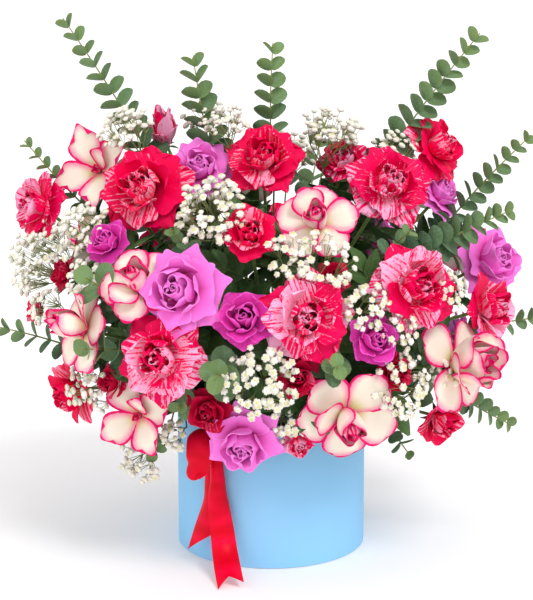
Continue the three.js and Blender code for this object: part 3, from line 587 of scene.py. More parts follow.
class Finish(Enum):
    """Every finish of the part."""

    WHITE = PetalFinish("petal_white", srgb(216, 222, 122), srgb(255, 243, 226), srgb(255, 250, 240),
                        srgb(240, 16, 112), margin_width=2.3, foot_length=(0.02, 0.38),
                        flush=srgb(255, 130, 176))
    # The deep foot colours of LILAC, VIOLET, CRIMSON and DARK are partly painted shade between the petals.
    LILAC = PetalFinish("petal_lilac", srgb(206, 30, 140), srgb(255, 130, 228), srgb(255, 158, 238),
                        srgb(255, 148, 234), margin_width=1.2, foot_length=(0.0, 0.6))
    VIOLET = PetalFinish("petal_violet", srgb(134, 10, 96), srgb(232, 60, 180), srgb(246, 110, 208),
                         srgb(240, 96, 200), margin_width=1.3, foot_length=(0.0, 0.6))
    STRIPED = PetalFinish("petal_striped", srgb(250, 150, 184), srgb(248, 0, 92), srgb(255, 184, 220),
                          srgb(240, 16, 98), foot_length=(0.0, 0.25), streaks=1.0)
    FLAMED = replace(STRIPED, name="petal_flamed", streaks=0.72)
    CRIMSON = PetalFinish("petal_crimson", srgb(176, 0, 52), srgb(252, 0, 86), srgb(255, 170, 200),
                          srgb(240, 16, 92), foot_length=(0.0, 0.5), streaks=0.42)
    DARK = PetalFinish("petal_dark", srgb(96, 0, 28), srgb(204, 0, 60), srgb(232, 90, 130),
                       srgb(200, 14, 66), foot_length=(0.0, 0.5), streaks=0.2)
    ROSE_LEAF = LeafFinish("rose_leaf", srgb(50, 88, 38), srgb(88, 124, 56), srgb(96, 134, 78))
    ROSE_STEM = StemFinish("rose_stem", srgb(70, 98, 46), srgb(112, 140, 66))
    EUCALYPTUS_LEAF = LeafFinish("eucalyptus_leaf", srgb(78, 118, 88), srgb(138, 162, 84),
                                 srgb(126, 160, 126), bloom=0.2, roughness=0.6)
    EUCALYPTUS_STEM = StemFinish("eucalyptus_stem", srgb(112, 128, 70), srgb(150, 146, 74))
    FLORET = FloretFinish("floret", srgb(250, 246, 236), srgb(214, 210, 144), srgb(140, 156, 100))
    TWIG = StemFinish("twig", srgb(96, 122, 66), srgb(140, 146, 92))
    BOX = PaperFinish("box_paper", srgb(122, 194, 232), srgb(114, 186, 226))
    BOX_INSIDE = PaperFinish("box_inside", srgb(236, 232, 222), srgb(228, 222, 210))
    RIBBON = SatinFinish("ribbon_satin", srgb(226, 0, 34), srgb(254, 6, 60))
    LINER = PlainFinish("liner_plastic", srgb(218, 220, 222), srgb(208, 210, 212), 40.0, 0.05, 0.45)
    FOAM = PlainFinish("wet_foam", srgb(44, 84, 44), srgb(28, 60, 32), 700.0, 0.6, 0.9)

    def material(self) -> bpy.types.Material:
        """The finish's material."""
        return self.value.material()


def add_object(name: str, data: bpy.types.ID) -> bpy.types.Object:
    """Adds an object to the scene.

    Args:
        name: the object's name.
        data: what it shows.

    Returns:
        The object.
    """
    made = bpy.data.objects.new(name, data)
    bpy.context.scene.collection.objects.link(made)
    return made


def solid(mesh: bmesh.types.BMesh, name: str, materials: Iterable[bpy.types.Material],
          sharp: float = 180.0) -> bpy.types.Object:
    """Turns a bmesh into an object of the scene, and frees it.

    Args:
        mesh: its faces have their material indices.
        name: the object's name.
        materials: in the order of the indices.
        sharp: degrees between two faces above which their edge is a crease.

    Returns:
        The object.
    """
    for edge in mesh.edges:
        if len(edge.link_faces) == 2 and edge.calc_face_angle() > math.radians(sharp):
            edge.smooth = False
    data = bpy.data.meshes.new(name)
    mesh.to_mesh(data)
    mesh.free()
    for material in materials:
        data.materials.append(material)
    return add_object(name, data)


def adopt(piece: bpy.types.Object, nodes: Iterable[str]) -> bpy.types.Object:
    """Rides a piece on the part in the place of CAD nodes, and reports it.

    Args:
        piece: object at the origin.
        nodes: the CAD nodes that it stands for.

    Returns:
        The piece.
    """
    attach(piece, ROOT)
    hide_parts(*nodes)
    log.info("%s: %d faces", piece.name, len(piece.data.polygons))
    return piece


def millimetres(across: float, half: float, along: float) -> Vector:
    """Millimetres across, along and from the rim.

    Args:
        across: from -1 to 1.
        half: half of the width there, in metres.
        along: from the foot, in metres.

    Returns:
        The three distances.
    """
    return Vector((across * half / MM, along / MM, (1.0 - abs(across)) * half / MM))


class Growth:
    """A mesh under construction, with the two vertex layers that the finishes read.

    place holds millimetres across, along and from the rim. tone holds the part of the length, a shade that
    is random for each petal or leaf, and its age.
    """

    SHARP = 55.0

    def __init__(self, finishes: tuple[Finish, ...]) -> None:
        """Starts an empty mesh.

        Args:
            finishes: the finishes that it will have.
        """
        self.finishes = finishes
        self.mesh = bmesh.new()
        self.place = self.mesh.verts.layers.float_vector.new("place")
        self.tone = self.mesh.verts.layers.float_vector.new("tone")
        self.sheets: dict[float, list[bmesh.types.BMFace]] = {}

    def dress(self, verts: Iterable[bmesh.types.BMVert], finish: Finish) -> list[bmesh.types.BMFace]:
        """Gives the faces at some vertices their finish.

        Args:
            verts: vertices of whole pieces.
            finish: one of the growth's finishes.

        Returns:
            The faces.
        """
        faces = list(dict.fromkeys(face for vert in verts for face in vert.link_faces))
        index = self.finishes.index(finish)
        for face in faces:
            face.material_index = index
            face.smooth = True
        return faces

    def blade(self, surface: Surface, grid: tuple[int, int], finish: Finish, thickness: float, shade: float,
              age: float = 0.0) -> None:
        """Adds a thin petal or leaf: a grid whose points are moved to a surface and later given a thickness.

        Args:
            surface: gives the point, and its millimetres across, along and from the rim, for a place across
                from -1 to 1 and along from 0 to 1.
            grid: faces across and along.
            finish: the blade's finish.
            thickness: in metres.
            shade: the blade's own shade, from 0 to 1.
            age: 0 for the youngest, 1 for the oldest.
        """
        made = bmesh.ops.create_grid(self.mesh, x_segments=grid[0], y_segments=grid[1], size=1.0)
        for vert in made["verts"]:
            part = 0.5 * (vert.co.y + 1.0)
            vert.co, vert[self.place] = surface(vert.co.x, part)
            vert[self.tone] = (part, shade, age)
        faces = self.dress(made["verts"], finish)
        self.sheets.setdefault(thickness, []).extend(faces)

    def rod(self, start: Vector, end: Vector, radii: Pair, finish: Finish, sides: int = 6,
            parts: Pair = (0.0, 1.0)) -> None:
        """Adds a straight round rod.

        Args:
            start: middle of its first end.
            end: middle of its other end.
            radii: at its two ends.
            finish: the rod's finish.
            sides: faces round it.
            parts: parts of the stem's length at its two ends.
        """
        along = end - start
        matrix = upright(along.normalized(), (start + end) / 2)
        made = bmesh.ops.create_cone(self.mesh, cap_ends=True, segments=sides, radius1=radii[0],
                                     radius2=radii[1], depth=along.length, matrix=matrix)
        for vert in made["verts"]:
            near = (vert.co - start).dot(along) / along.length_squared
            vert[self.tone] = (parts[0] + (parts[1] - parts[0]) * near, 0.5, 0.0)
        self.dress(made["verts"], finish)

    def stem(self, axis: Vector, fork: Vector | None, bend: float, neck: Vector, radii: Pair, finish: Finish,
             sides: int = 6, parts: Pair = (0.0, 1.0)) -> None:
        """Adds a stem that stands in the foam, or leaves another stem and bends to its own direction.

        Args:
            axis: its direction from the heart.
            fork: where it leaves the other stem, or None where it stands in the foam.
            bend: how far from the heart a branch has its own direction.
            neck: its upper end.
            radii: at its two ends.
            finish: its finish.
            sides: faces round it.
            parts: parts of the stem's length at its two ends.
        """
        start = HEART + axis * (STEM_START if fork is None else bend)
        if fork is not None:
            self.rod(fork, start, radii, finish, sides)
        self.rod(start, neck, radii, finish, sides, parts)

    def thicken(self) -> None:
        """Makes closed slabs of the blades: each is extruded along its own normals."""
        self.mesh.normal_update()
        way = self.mesh.verts.layers.float_vector.new("way")
        for thickness, faces in self.sheets.items():
            for vert in dict.fromkeys(vert for face in faces for vert in face.verts):
                vert[way] = vert.normal * thickness
            made = bmesh.ops.extrude_face_region(self.mesh, geom=faces, use_keep_orig=True)
            for item in made["geom"]:
                if isinstance(item, bmesh.types.BMVert):
                    item.co += item[way]
        self.mesh.verts.layers.float_vector.remove(way)

    def piece(self, name: str, nodes: Iterable[str], slot: str) -> bpy.types.Object:
        """Gives the blades their thickness and turns the mesh into a finished piece.

        Args:
            name: the piece's name.
            nodes: the CAD nodes that it stands for.
            slot: not used.

        Returns:
            The piece.
        """
        self.thicken()
        materials = [finish.material() for finish in self.finishes]
        return adopt(solid(self.mesh, name, materials, self.SHARP), nodes)


@dataclass(frozen=True)
class Whorl:
    """One ring of petals. Lengths are parts of the rose's size, angles are degrees."""

    count: int
    length: float
    width: float
    rise: Pair
    cup: float
    start: Pair = (0.04, 0.0)
    curl: float = 0.0
    point: float = 0.0
    wave: float = 0.0
    roll: float = 0.0
    turn: float = 0.0
    lean: float = 0.0
    grid: tuple[int, int] = (8, 8)


class Petal:
    """Surface of one petal that grows out of the origin and faces +Z."""

    STATIONS = 14
    BROADEST = 0.62
    CLAW = 0.24
    TIP_WIDTH = 0.46
    CURL_FROM = 0.66
    CURL_SPAN = 0.34
    FLAT = 1e-3
    SIZES = (0.94, 1.05)
    CUPS = (0.85, 1.15)
    SWAY = 5.0

    def __init__(self, whorl: Whorl, size: float, draw: random.Random) -> None:
        """Works out the petal's side view.

        Args:
            whorl: the ring that it belongs to.
            size: the rose's size.
            draw: source of the small differences between petals.
        """
        self.whorl = whorl
        self.size = size * draw.uniform(*self.SIZES)
        self.cup = math.radians(whorl.cup * draw.uniform(*self.CUPS))
        self.lean = math.radians(whorl.lean + draw.uniform(-self.SWAY, self.SWAY))
        self.phase = draw.uniform(0.0, 2.0 * math.pi)
        bend = draw.uniform(-self.SWAY, self.SWAY)
        out, up = whorl.start
        step = whorl.length / self.STATIONS
        self.side: list[Triple] = []
        for i in range(self.STATIONS + 1):
            part = i / self.STATIONS
            late = max(0.0, (part - self.CURL_FROM) / self.CURL_SPAN)
            angle = whorl.rise[0] + (whorl.rise[1] - whorl.rise[0]) * part + bend - whorl.curl * late * late
            slope = math.radians(angle)
            self.side.append((out, up, slope))
            out += step * math.cos(slope)
            up += step * math.sin(slope)

    def station(self, part: float) -> Triple:
        """Radius, height and slope at a part of the length.

        Args:
            part: from 0 at the foot to 1 at the tip.

        Returns:
            Radius and height as parts of the size, and the slope in radians.
        """
        place = min(max(part, 0.0), 1.0) * self.STATIONS
        low = min(int(place), self.STATIONS - 1)
        share = place - low
        return tuple(a + (b - a) * share for a, b in zip(self.side[low], self.side[low + 1]))

    def outline(self, part: float) -> float:
        """Half width of the petal, as a part of its broadest.

        Args:
            part: from 0 at the foot to 1 at the tip.

        Returns:
            The half width.
        """
        if part < self.BROADEST:
            return self.CLAW + (1.0 - self.CLAW) * math.sin(0.5 * math.pi * part / self.BROADEST)
        late = (part - self.BROADEST) / (1.0 - self.BROADEST)
        return math.sqrt(1.0 - (1.0 - self.TIP_WIDTH ** 2) * late * late)

    def surface(self, across: float, part: float) -> tuple[Vector, Vector]:
        """Point of the petal, and its millimetres across, along and from the rim.

        Args:
            across: from -1 to 1.
            part: from 0 to 1.

        Returns:
            The point in the rose's frame, and the three distances.
        """
        w = self.whorl
        half = 0.5 * w.width * self.outline(part)
        # The rim falls back at the sides, further on a pointed petal, and in and out on a wavy one.
        pull = (0.17 + 0.2 * w.point) * abs(across) ** (2.4 - w.point) * part ** 3
        pull += 1.6 * w.wave * (1.0 + math.sin(7.0 * across + self.phase)) * part ** 3
        out, up, slope = self.station(part - pull)
        # Across, the petal is an arc that is flatter at its foot. It then leans, waves and rolls back.
        bend = self.cup * (0.35 + 0.65 * part)
        lateral, inward = half * across, 0.0
        if abs(bend) > self.FLAT:
            lateral = half * math.sin(bend * across) / bend
            inward = half * (1.0 - math.cos(bend * across)) / bend
        inward += lateral * math.sin(self.lean)
        inward += w.wave * part * part * math.sin(2.6 * math.pi * across + self.phase)
        inward -= w.roll * half * part * part * max(0.0, abs(across) - 0.4) ** 2
        point = Vector((out - math.sin(slope) * inward, lateral, up + math.cos(slope) * inward))
        scale = self.size / MM
        rim = min((1.0 - abs(across)) * half, (1.0 - part) * w.length * 0.9) * scale
        return point * self.size, Vector((across * half * scale, part * w.length * scale, rim))

    def seated(self, foot: Matrix, taper: float = 0.0) -> Surface:
        """The petal's surface in a frame of the part.

        Args:
            foot: frame at the petal's foot.
            taper: how much narrower its tip is made.

        Returns:
            A surface for Growth.blade.
        """

        def surface(across: float, part: float) -> tuple[Vector, Vector]:
            """Point of the petal and its millimetres across, along and from the rim."""
            point, place = self.surface(across * (1.0 - taper * part * part), part)
            return foot @ point, place

        return surface


BUD_GRID = (7, 6)


class Form(Enum):
    """Forms of the roses, from the outer whorl to the bud."""

    WHITE = (
        Whorl(5, 0.50, 0.49, (14, -8), 6, (0.05, -0.01), curl=26, grid=(10, 10)),
        Whorl(1, 0.44, 0.44, (44, 26), 20, (0.06, 0.01), curl=26, turn=35, grid=(9, 8)),
        Whorl(3, 0.42, 0.36, (68, 102), 92, (0.09, 0.02), curl=22, lean=12, turn=10, grid=BUD_GRID),
        Whorl(3, 0.46, 0.29, (76, 110), 112, (0.06, 0.02), curl=8, lean=14, turn=70, grid=BUD_GRID),
        Whorl(2, 0.48, 0.22, (82, 106), 140, (0.04, 0.02), lean=16, turn=20, grid=BUD_GRID),
    )
    CUPPED_WHITE = (
        Whorl(4, 0.52, 0.52, (6, -14), 6, (0.05, -0.01), curl=22, turn=20, grid=(10, 10)),
        Whorl(2, 0.52, 0.50, (46, 40), 26, (0.08, 0.01), curl=30, turn=80, grid=(9, 8)),
        Whorl(3, 0.50, 0.54, (58, 86), 74, (0.14, 0.02), curl=34, lean=10, turn=10),
        Whorl(3, 0.50, 0.46, (66, 96), 96, (0.12, 0.02), curl=20, lean=12, turn=60, grid=BUD_GRID),
        Whorl(3, 0.49, 0.34, (76, 102), 120, (0.08, 0.02), curl=8, lean=14, turn=20, grid=BUD_GRID),
        Whorl(2, 0.48, 0.22, (82, 102), 140, (0.04, 0.02), lean=16, turn=60, grid=BUD_GRID),
    )
    OPEN_WHITE = (
        Whorl(4, 0.60, 0.50, (34, 8), 34, (0.03, 0.0), curl=24, point=0.5, grid=(10, 9)),
        Whorl(1, 0.34, 0.34, (56, 40), 45, (0.04, 0.01), curl=20, turn=40),
        Whorl(3, 0.12, 0.10, (70, 70), 80, (0.02, 0.01), turn=80, grid=(4, 4)),
    )
    POINTED_WHITE = (
        Whorl(4, 0.63, 0.48, (36, 14), 44, (0.03, 0.0), curl=10, point=0.8, grid=(12, 10)),
        *OPEN_WHITE[1:],
    )
    LILAC = (
        Whorl(6, 0.52, 0.46, (12, -14), 0, (0.05, -0.02), curl=30, point=0.9, roll=1.0),
        Whorl(5, 0.45, 0.44, (30, 2), 10, (0.07, 0.0), curl=38, point=0.7, turn=36, roll=0.9),
        Whorl(3, 0.36, 0.52, (60, 66), 76, (0.17, 0.01), curl=44, point=0.3, turn=15, lean=8, roll=0.4),
        Whorl(3, 0.34, 0.48, (68, 94), 96, (0.14, 0.01), curl=24, turn=70, lean=12, grid=BUD_GRID),
        Whorl(3, 0.33, 0.40, (74, 100), 115, (0.10, 0.01), curl=12, turn=20, lean=14, grid=BUD_GRID),
        Whorl(3, 0.32, 0.29, (80, 102), 130, (0.065, 0.01), curl=6, turn=50, lean=16, grid=BUD_GRID),
        Whorl(2, 0.31, 0.18, (84, 100), 150, (0.035, 0.01), lean=18, grid=BUD_GRID),
    )
    RUFFLED = (
        Whorl(5, 0.53, 0.50, (12, -12), 4, (0.06, -0.02), curl=24, point=0.5, wave=0.022, roll=0.3,
              grid=(10, 9)),
        Whorl(5, 0.45, 0.44, (28, 4), 10, (0.07, 0.0), curl=30, point=0.4, wave=0.018, turn=34, roll=0.4),
        Whorl(3, 0.33, 0.50, (58, 66), 78, (0.16, 0.01), curl=40, turn=10, lean=9, roll=0.3, grid=BUD_GRID),
        Whorl(3, 0.32, 0.46, (66, 96), 98, (0.13, 0.01), curl=20, turn=60, lean=12, grid=BUD_GRID),
        Whorl(3, 0.32, 0.38, (74, 101), 115, (0.095, 0.01), curl=10, turn=15, lean=14, grid=BUD_GRID),
        Whorl(3, 0.31, 0.26, (80, 102), 130, (0.06, 0.01), curl=5, turn=60, lean=16, grid=BUD_GRID),
        Whorl(2, 0.30, 0.16, (84, 100), 150, (0.03, 0.01), lean=18, grid=BUD_GRID),
    )
    SMALL = (
        Whorl(5, 0.50, 0.54, (24, 2), 10, (0.05, -0.02), curl=34, point=0.4, wave=0.012, roll=0.5,
              grid=(7, 7)),
        Whorl(4, 0.43, 0.50, (50, 44), 46, (0.10, 0.0), curl=45, turn=40, lean=8, roll=0.4, grid=(7, 7)),
        Whorl(3, 0.39, 0.50, (66, 94), 90, (0.15, 0.0), curl=28, turn=10, lean=12, grid=BUD_GRID),
        Whorl(3, 0.38, 0.40, (74, 101), 112, (0.10, 0.0), curl=12, turn=70, lean=14, grid=BUD_GRID),
        Whorl(2, 0.37, 0.26, (82, 101), 145, (0.055, 0.0), curl=5, lean=16, grid=BUD_GRID),
    )
    TIGHT_BUD = (
        Whorl(4, 0.70, 0.50, (54, 62), 55, (0.06, -0.02), curl=30, grid=(7, 7)),
        Whorl(4, 0.92, 0.50, (72, 92), 85, (0.12, 0.0), curl=25, turn=40, lean=12, grid=BUD_GRID),
        Whorl(3, 1.0, 0.40, (76, 98), 110, (0.08, 0.0), curl=10, turn=10, lean=15, grid=BUD_GRID),
    )


@dataclass(frozen=True)
class Rose:
    """A rose: its place on the dome, its size, and what it faces."""

    form: Form
    finish: Finish
    stem: Pair
    out: float
    size: float
    face: Pair
    first: float
    coarse: bool = False

    PETAL_THICKNESS = 0.45 * MM
    PETAL_SWAY = 7.0
    STEM_RADII = (1.9 * MM, 1.6 * MM)
    CUP_RADIUS = 0.085
    CUP_DEPTH = 0.06
    SEPALS = Whorl(5, 0.26, 0.09, (10, -30), 20, (0.06, -0.05), point=1.0, grid=(2, 4))
    SEPAL_TAPER = 0.8
    SEPAL_THICKNESS = 0.6 * MM
    SEPAL_AGE = 0.4
    LEAVES = 4
    LEAF_FOOT = 0.5
    LEAF_STEP = 0.085
    LOW = 12.0
    UPWARD_ANGLES = (0.4, 2.7)
    RIB = Vector((0.036, 0.0, 0.020))
    RIB_RADII = (0.8 * MM, 0.6 * MM)
    LEAFLETS = ((-65.0, 0.45), (65.0, 0.45), (-50.0, 0.8), (50.0, 0.8), (0.0, 1.0))
    LEAFLET_LENGTHS = (0.024, 0.032)
    LEAFLET_WIDTH = 0.64
    LEAFLET_THICKNESS = 0.4 * MM

    @property
    def axis(self) -> Vector:
        """Direction of the stem."""
        return direction(*self.stem)

    @property
    def reach(self) -> float:
        """Distance of the head from the heart."""
        return dome_reach(self.axis) * self.out

    def grow(self, growth: Growth, fork: Vector | None, seed: int) -> None:
        """Adds the stem, the cup under the head, and the petals.

        Args:
            growth: the mesh of the rose's node.
            fork: where it leaves another stem, or None where it stands in the foam.
            seed: of its own random draws.
        """
        draw = random.Random(seed)
        neck = HEART + self.axis * self.reach
        head = upright(direction(*self.face), neck)
        growth.stem(self.axis, fork, min(REJOIN, 0.8 * self.reach), neck, self.STEM_RADII, Finish.ROSE_STEM)
        self.grow_cup(growth, head, draw)
        self.grow_leaves(growth, draw)
        whorls = self.form.value
        for ring, whorl in enumerate(whorls):
            grid = tuple(max(5, n - 2) for n in whorl.grid) if self.coarse else whorl.grid
            for i in range(whorl.count):
                petal = Petal(whorl, self.size, draw)
                turn = self.first + whorl.turn + 360.0 * i / whorl.count
                turn += draw.uniform(-self.PETAL_SWAY, self.PETAL_SWAY)
                surface = petal.seated(head @ Matrix.Rotation(math.radians(turn), 4, "Z"))
                growth.blade(surface, grid, self.finish, self.PETAL_THICKNESS, draw.random(),
                             ring / len(whorls))

    def grow_cup(self, growth: Growth, head: Matrix, draw: random.Random) -> None:
        """Adds the swelling under the head and its five sepals.

        Args:
            growth: the mesh of the rose's node.
            head: the head's frame.
            draw: source of small differences.
        """
        place = head @ Matrix.Translation((0.0, 0.0, -self.CUP_DEPTH * self.size))
        made = bmesh.ops.create_uvsphere(growth.mesh, u_segments=8, v_segments=5,
                                         radius=self.CUP_RADIUS * self.size, matrix=place)
        growth.dress(made["verts"], Finish.ROSE_STEM)
        for i in range(self.SEPALS.count):
            sepal = Petal(self.SEPALS, self.size, draw)
            turn = math.radians(360.0 / self.SEPALS.count * i + self.first)
            surface = sepal.seated(head @ Matrix.Rotation(turn, 4, "Z"), self.SEPAL_TAPER)
            growth.blade(surface, self.SEPALS.grid, Finish.ROSE_LEAF, self.SEPAL_THICKNESS, draw.random(),
                         self.SEPAL_AGE)

    def grow_leaves(self, growth: Growth, draw: random.Random) -> None:
        """Adds leaves of five leaflets each to the upper stem. Those of low roses point upwards.

        Args:
            growth: the mesh of the rose's node.
            draw: source of their turns and sizes.
        """
        for i in range(self.LEAVES):
            foot = HEART + self.axis * self.reach * (self.LEAF_FOOT + self.LEAF_STEP * i)
            low = self.stem[1] < self.LOW
            angle = draw.uniform(*self.UPWARD_ANGLES) if low else 2.4 * i + draw.uniform(0.0, 6.28)
            place = upright(self.axis, foot) @ Matrix.Rotation(angle, 4, "Z")
            growth.rod(foot, place @ self.RIB, self.RIB_RADII, Finish.ROSE_STEM, 4)
            for turn, share in self.LEAFLETS:
                length = draw.uniform(*self.LEAFLET_LENGTHS)
                leaf = place @ Matrix.Translation(self.RIB * share)
                leaf = leaf @ Matrix.Rotation(math.radians(turn), 4, "Z")
                leaf = leaf @ Matrix.Rotation(-math.radians(draw.uniform(15.0, 45.0)), 4, "Y")
                growth.blade(leaflet(leaf, length, self.LEAFLET_WIDTH * length), (4, 5), Finish.ROSE_LEAF,
                             self.LEAFLET_THICKNESS, draw.random(), draw.uniform(0.0, 0.6))


def leaflet(place: Matrix, length: float, width: float) -> Surface:
    """Surface of a pointed leaf that grows along +X of its place.

    Args:
        place: the frame at its foot.
        length: in metres.
        width: in metres.

    Returns:
        A surface for Growth.blade.
    """

    def surface(across: float, part: float) -> tuple[Vector, Vector]:
        """Point of the leaflet.

        Args:
            across: from -1 to 1.
            part: from 0 at the foot to 1 at the tip.

        Returns:
            The point in the part's frame, and its millimetres across, along and from the rim.
        """
        half = 0.5 * width * math.sin(math.pi * min(0.97, 0.06 + 0.94 * part ** 0.85)) ** 0.8
        fold = 0.25 * abs(across) * half
        sag = -0.18 * length * part * part
        point = Vector((length * part, half * across, fold + sag))
        return place @ point, millimetres(across, half, part * length)

    return surface


def round_leaf(place: Matrix, length: float, width: float, cup: float) -> Surface:
    """Surface of a round leaf that grows along +X of its place.

    Args:
        place: the frame at its foot.
        length: in metres.
        width: in metres.
        cup: how far its sides stand up, as a part of its length.

    Returns:
        A surface for Growth.blade.
    """

    def surface(across: float, part: float) -> tuple[Vector, Vector]:
        """Point of the leaf.

        Args:
            across: from -1 to 1.
            part: from 0 at the foot to 1 at the tip.

        Returns:
            The point in the part's frame, and its millimetres across, along and from the rim.
        """
        turn = math.pi * (0.03 + 0.97 * part)
        x = 0.5 * length * (1.0 - math.cos(turn))
        half = 0.5 * width * math.sin(min(turn, math.pi * 0.985)) ** 0.85
        stalk = 0.06 * width * (1.0 - part) ** 6
        up = cup * length * (across * across * half / (0.5 * width) - 0.5 * (x / length) ** 2)
        point = Vector((x, (half + stalk) * across, up))
        return place @ point, millimetres(across, half, x)

    return surface


@dataclass(frozen=True)
class Spray:
    """A eucalyptus spray: its stem, the place of its tip, and its pairs of leaves."""

    stem: Pair
    tip: Triple
    pairs: int
    leaf: float
    start: float = 0.05

    NECK = 0.86
    REACH_ON_DOME = 0.97
    BEND = 0.14
    STEM_RADII = (1.15 * MM, 1.0 * MM)
    STALK_RADII = (1.1 * MM, 0.55 * MM)
    BOW = 0.02
    SHORT = 4
    LAST_PAIR = 0.99
    FIRST_LENGTH = 1.16
    LENGTH_LOSS = 0.62
    LENGTHS = (0.93, 1.07)
    LEAF_THICKNESS = 0.5 * MM
    LEAF_WIDTH = 0.92
    LEAF_CUP = 0.12
    TILTS = {True: 64.0, False: 74.0}
    ROLLS = {True: 38.0, False: 0.0}

    @property
    def is_long(self) -> bool:
        """True if the spray stands out of the bouquet."""
        return self.pairs > self.SHORT

    def grow(self, growth: Growth, fork: Vector | None, seed: int) -> None:
        """Adds the stem, the stalk and the leaves.

        Args:
            growth: the mesh of the spray's node.
            fork: where it leaves another stem, or None.
            seed: of its own random draws.
        """
        draw = random.Random(seed)
        axis = direction(*self.stem)
        neck = HEART + axis * (self.NECK * self.REACH_ON_DOME * dome_reach(axis))
        tip = HEART + direction(*self.tip[:2]) * self.tip[2]
        growth.stem(axis, fork, self.BEND, neck, self.STEM_RADII, Finish.EUCALYPTUS_STEM, parts=(0.0, 0.2))
        along = (tip - neck).normalized()
        view = Vector((0.0, 0.0, 1.0)) if abs(along.y) > 0.8 else Vector((0.0, -1.0, 0.0))
        side = along.cross(view).normalized()
        bow = side * draw.choice((-1.0, 1.0)) * self.BOW * (tip - neck).length

        def stalk(part: float) -> Vector:
            """Place on the slightly bowed stalk."""
            return neck.lerp(tip, part) + bow * math.sin(math.pi * part)

        steps = max(3, self.pairs)
        for i in range(steps):
            low, high = i / steps, (i + 1) / steps
            wide = [a + (b - a) * p for a, b in [self.STALK_RADII] for p in (low, high)]
            growth.rod(stalk(low), stalk(high), tuple(wide), Finish.EUCALYPTUS_STEM, parts=(low, high))
        for i in range(self.pairs):
            share = (i + 0.5) / self.pairs
            part = self.start + (self.LAST_PAIR - self.start) * share
            length = self.leaf * (self.FIRST_LENGTH - self.LENGTH_LOSS * part) * draw.uniform(*self.LENGTHS)
            cross = draw.uniform(-18.0, 18.0) if self.is_long else 90.0 * i + draw.uniform(-12.0, 12.0)
            for turn in (0.0, 180.0):
                way = Matrix.Rotation(math.radians(cross + turn), 3, along) @ side
                self.grow_leaf(growth, stalk(part), along, way, length, share, draw)

    def grow_leaf(self, growth: Growth, foot: Vector, along: Vector, way: Vector, length: float,
                  youth: float, draw: random.Random) -> None:
        """Adds one leaf.

        Args:
            growth: the mesh of the spray's node.
            foot: its place on the stalk.
            along: direction of the stalk.
            way: sideways direction that it leaves in.
            length: in metres.
            youth: 0 for the oldest leaf, 1 for the youngest.
            draw: source of small differences.
        """
        tilt = math.radians(self.TILTS[self.is_long] + draw.uniform(-9.0, 9.0) - 18.0 * youth)
        outward = way * math.sin(tilt) + along * math.cos(tilt)
        face = along * math.sin(tilt) - way * math.cos(tilt)
        roll = math.radians(self.ROLLS[self.is_long] + draw.uniform(-22.0, 22.0))
        place = Matrix((outward, face.cross(outward), face)).transposed().to_4x4()
        place = place @ Matrix.Rotation(roll, 4, "X")
        place.translation = foot
        surface = round_leaf(place, length, self.LEAF_WIDTH * length, self.LEAF_CUP)
        growth.blade(surface, (6, 6), Finish.EUCALYPTUS_LEAF, self.LEAF_THICKNESS, draw.random(),
                     0.75 * youth)


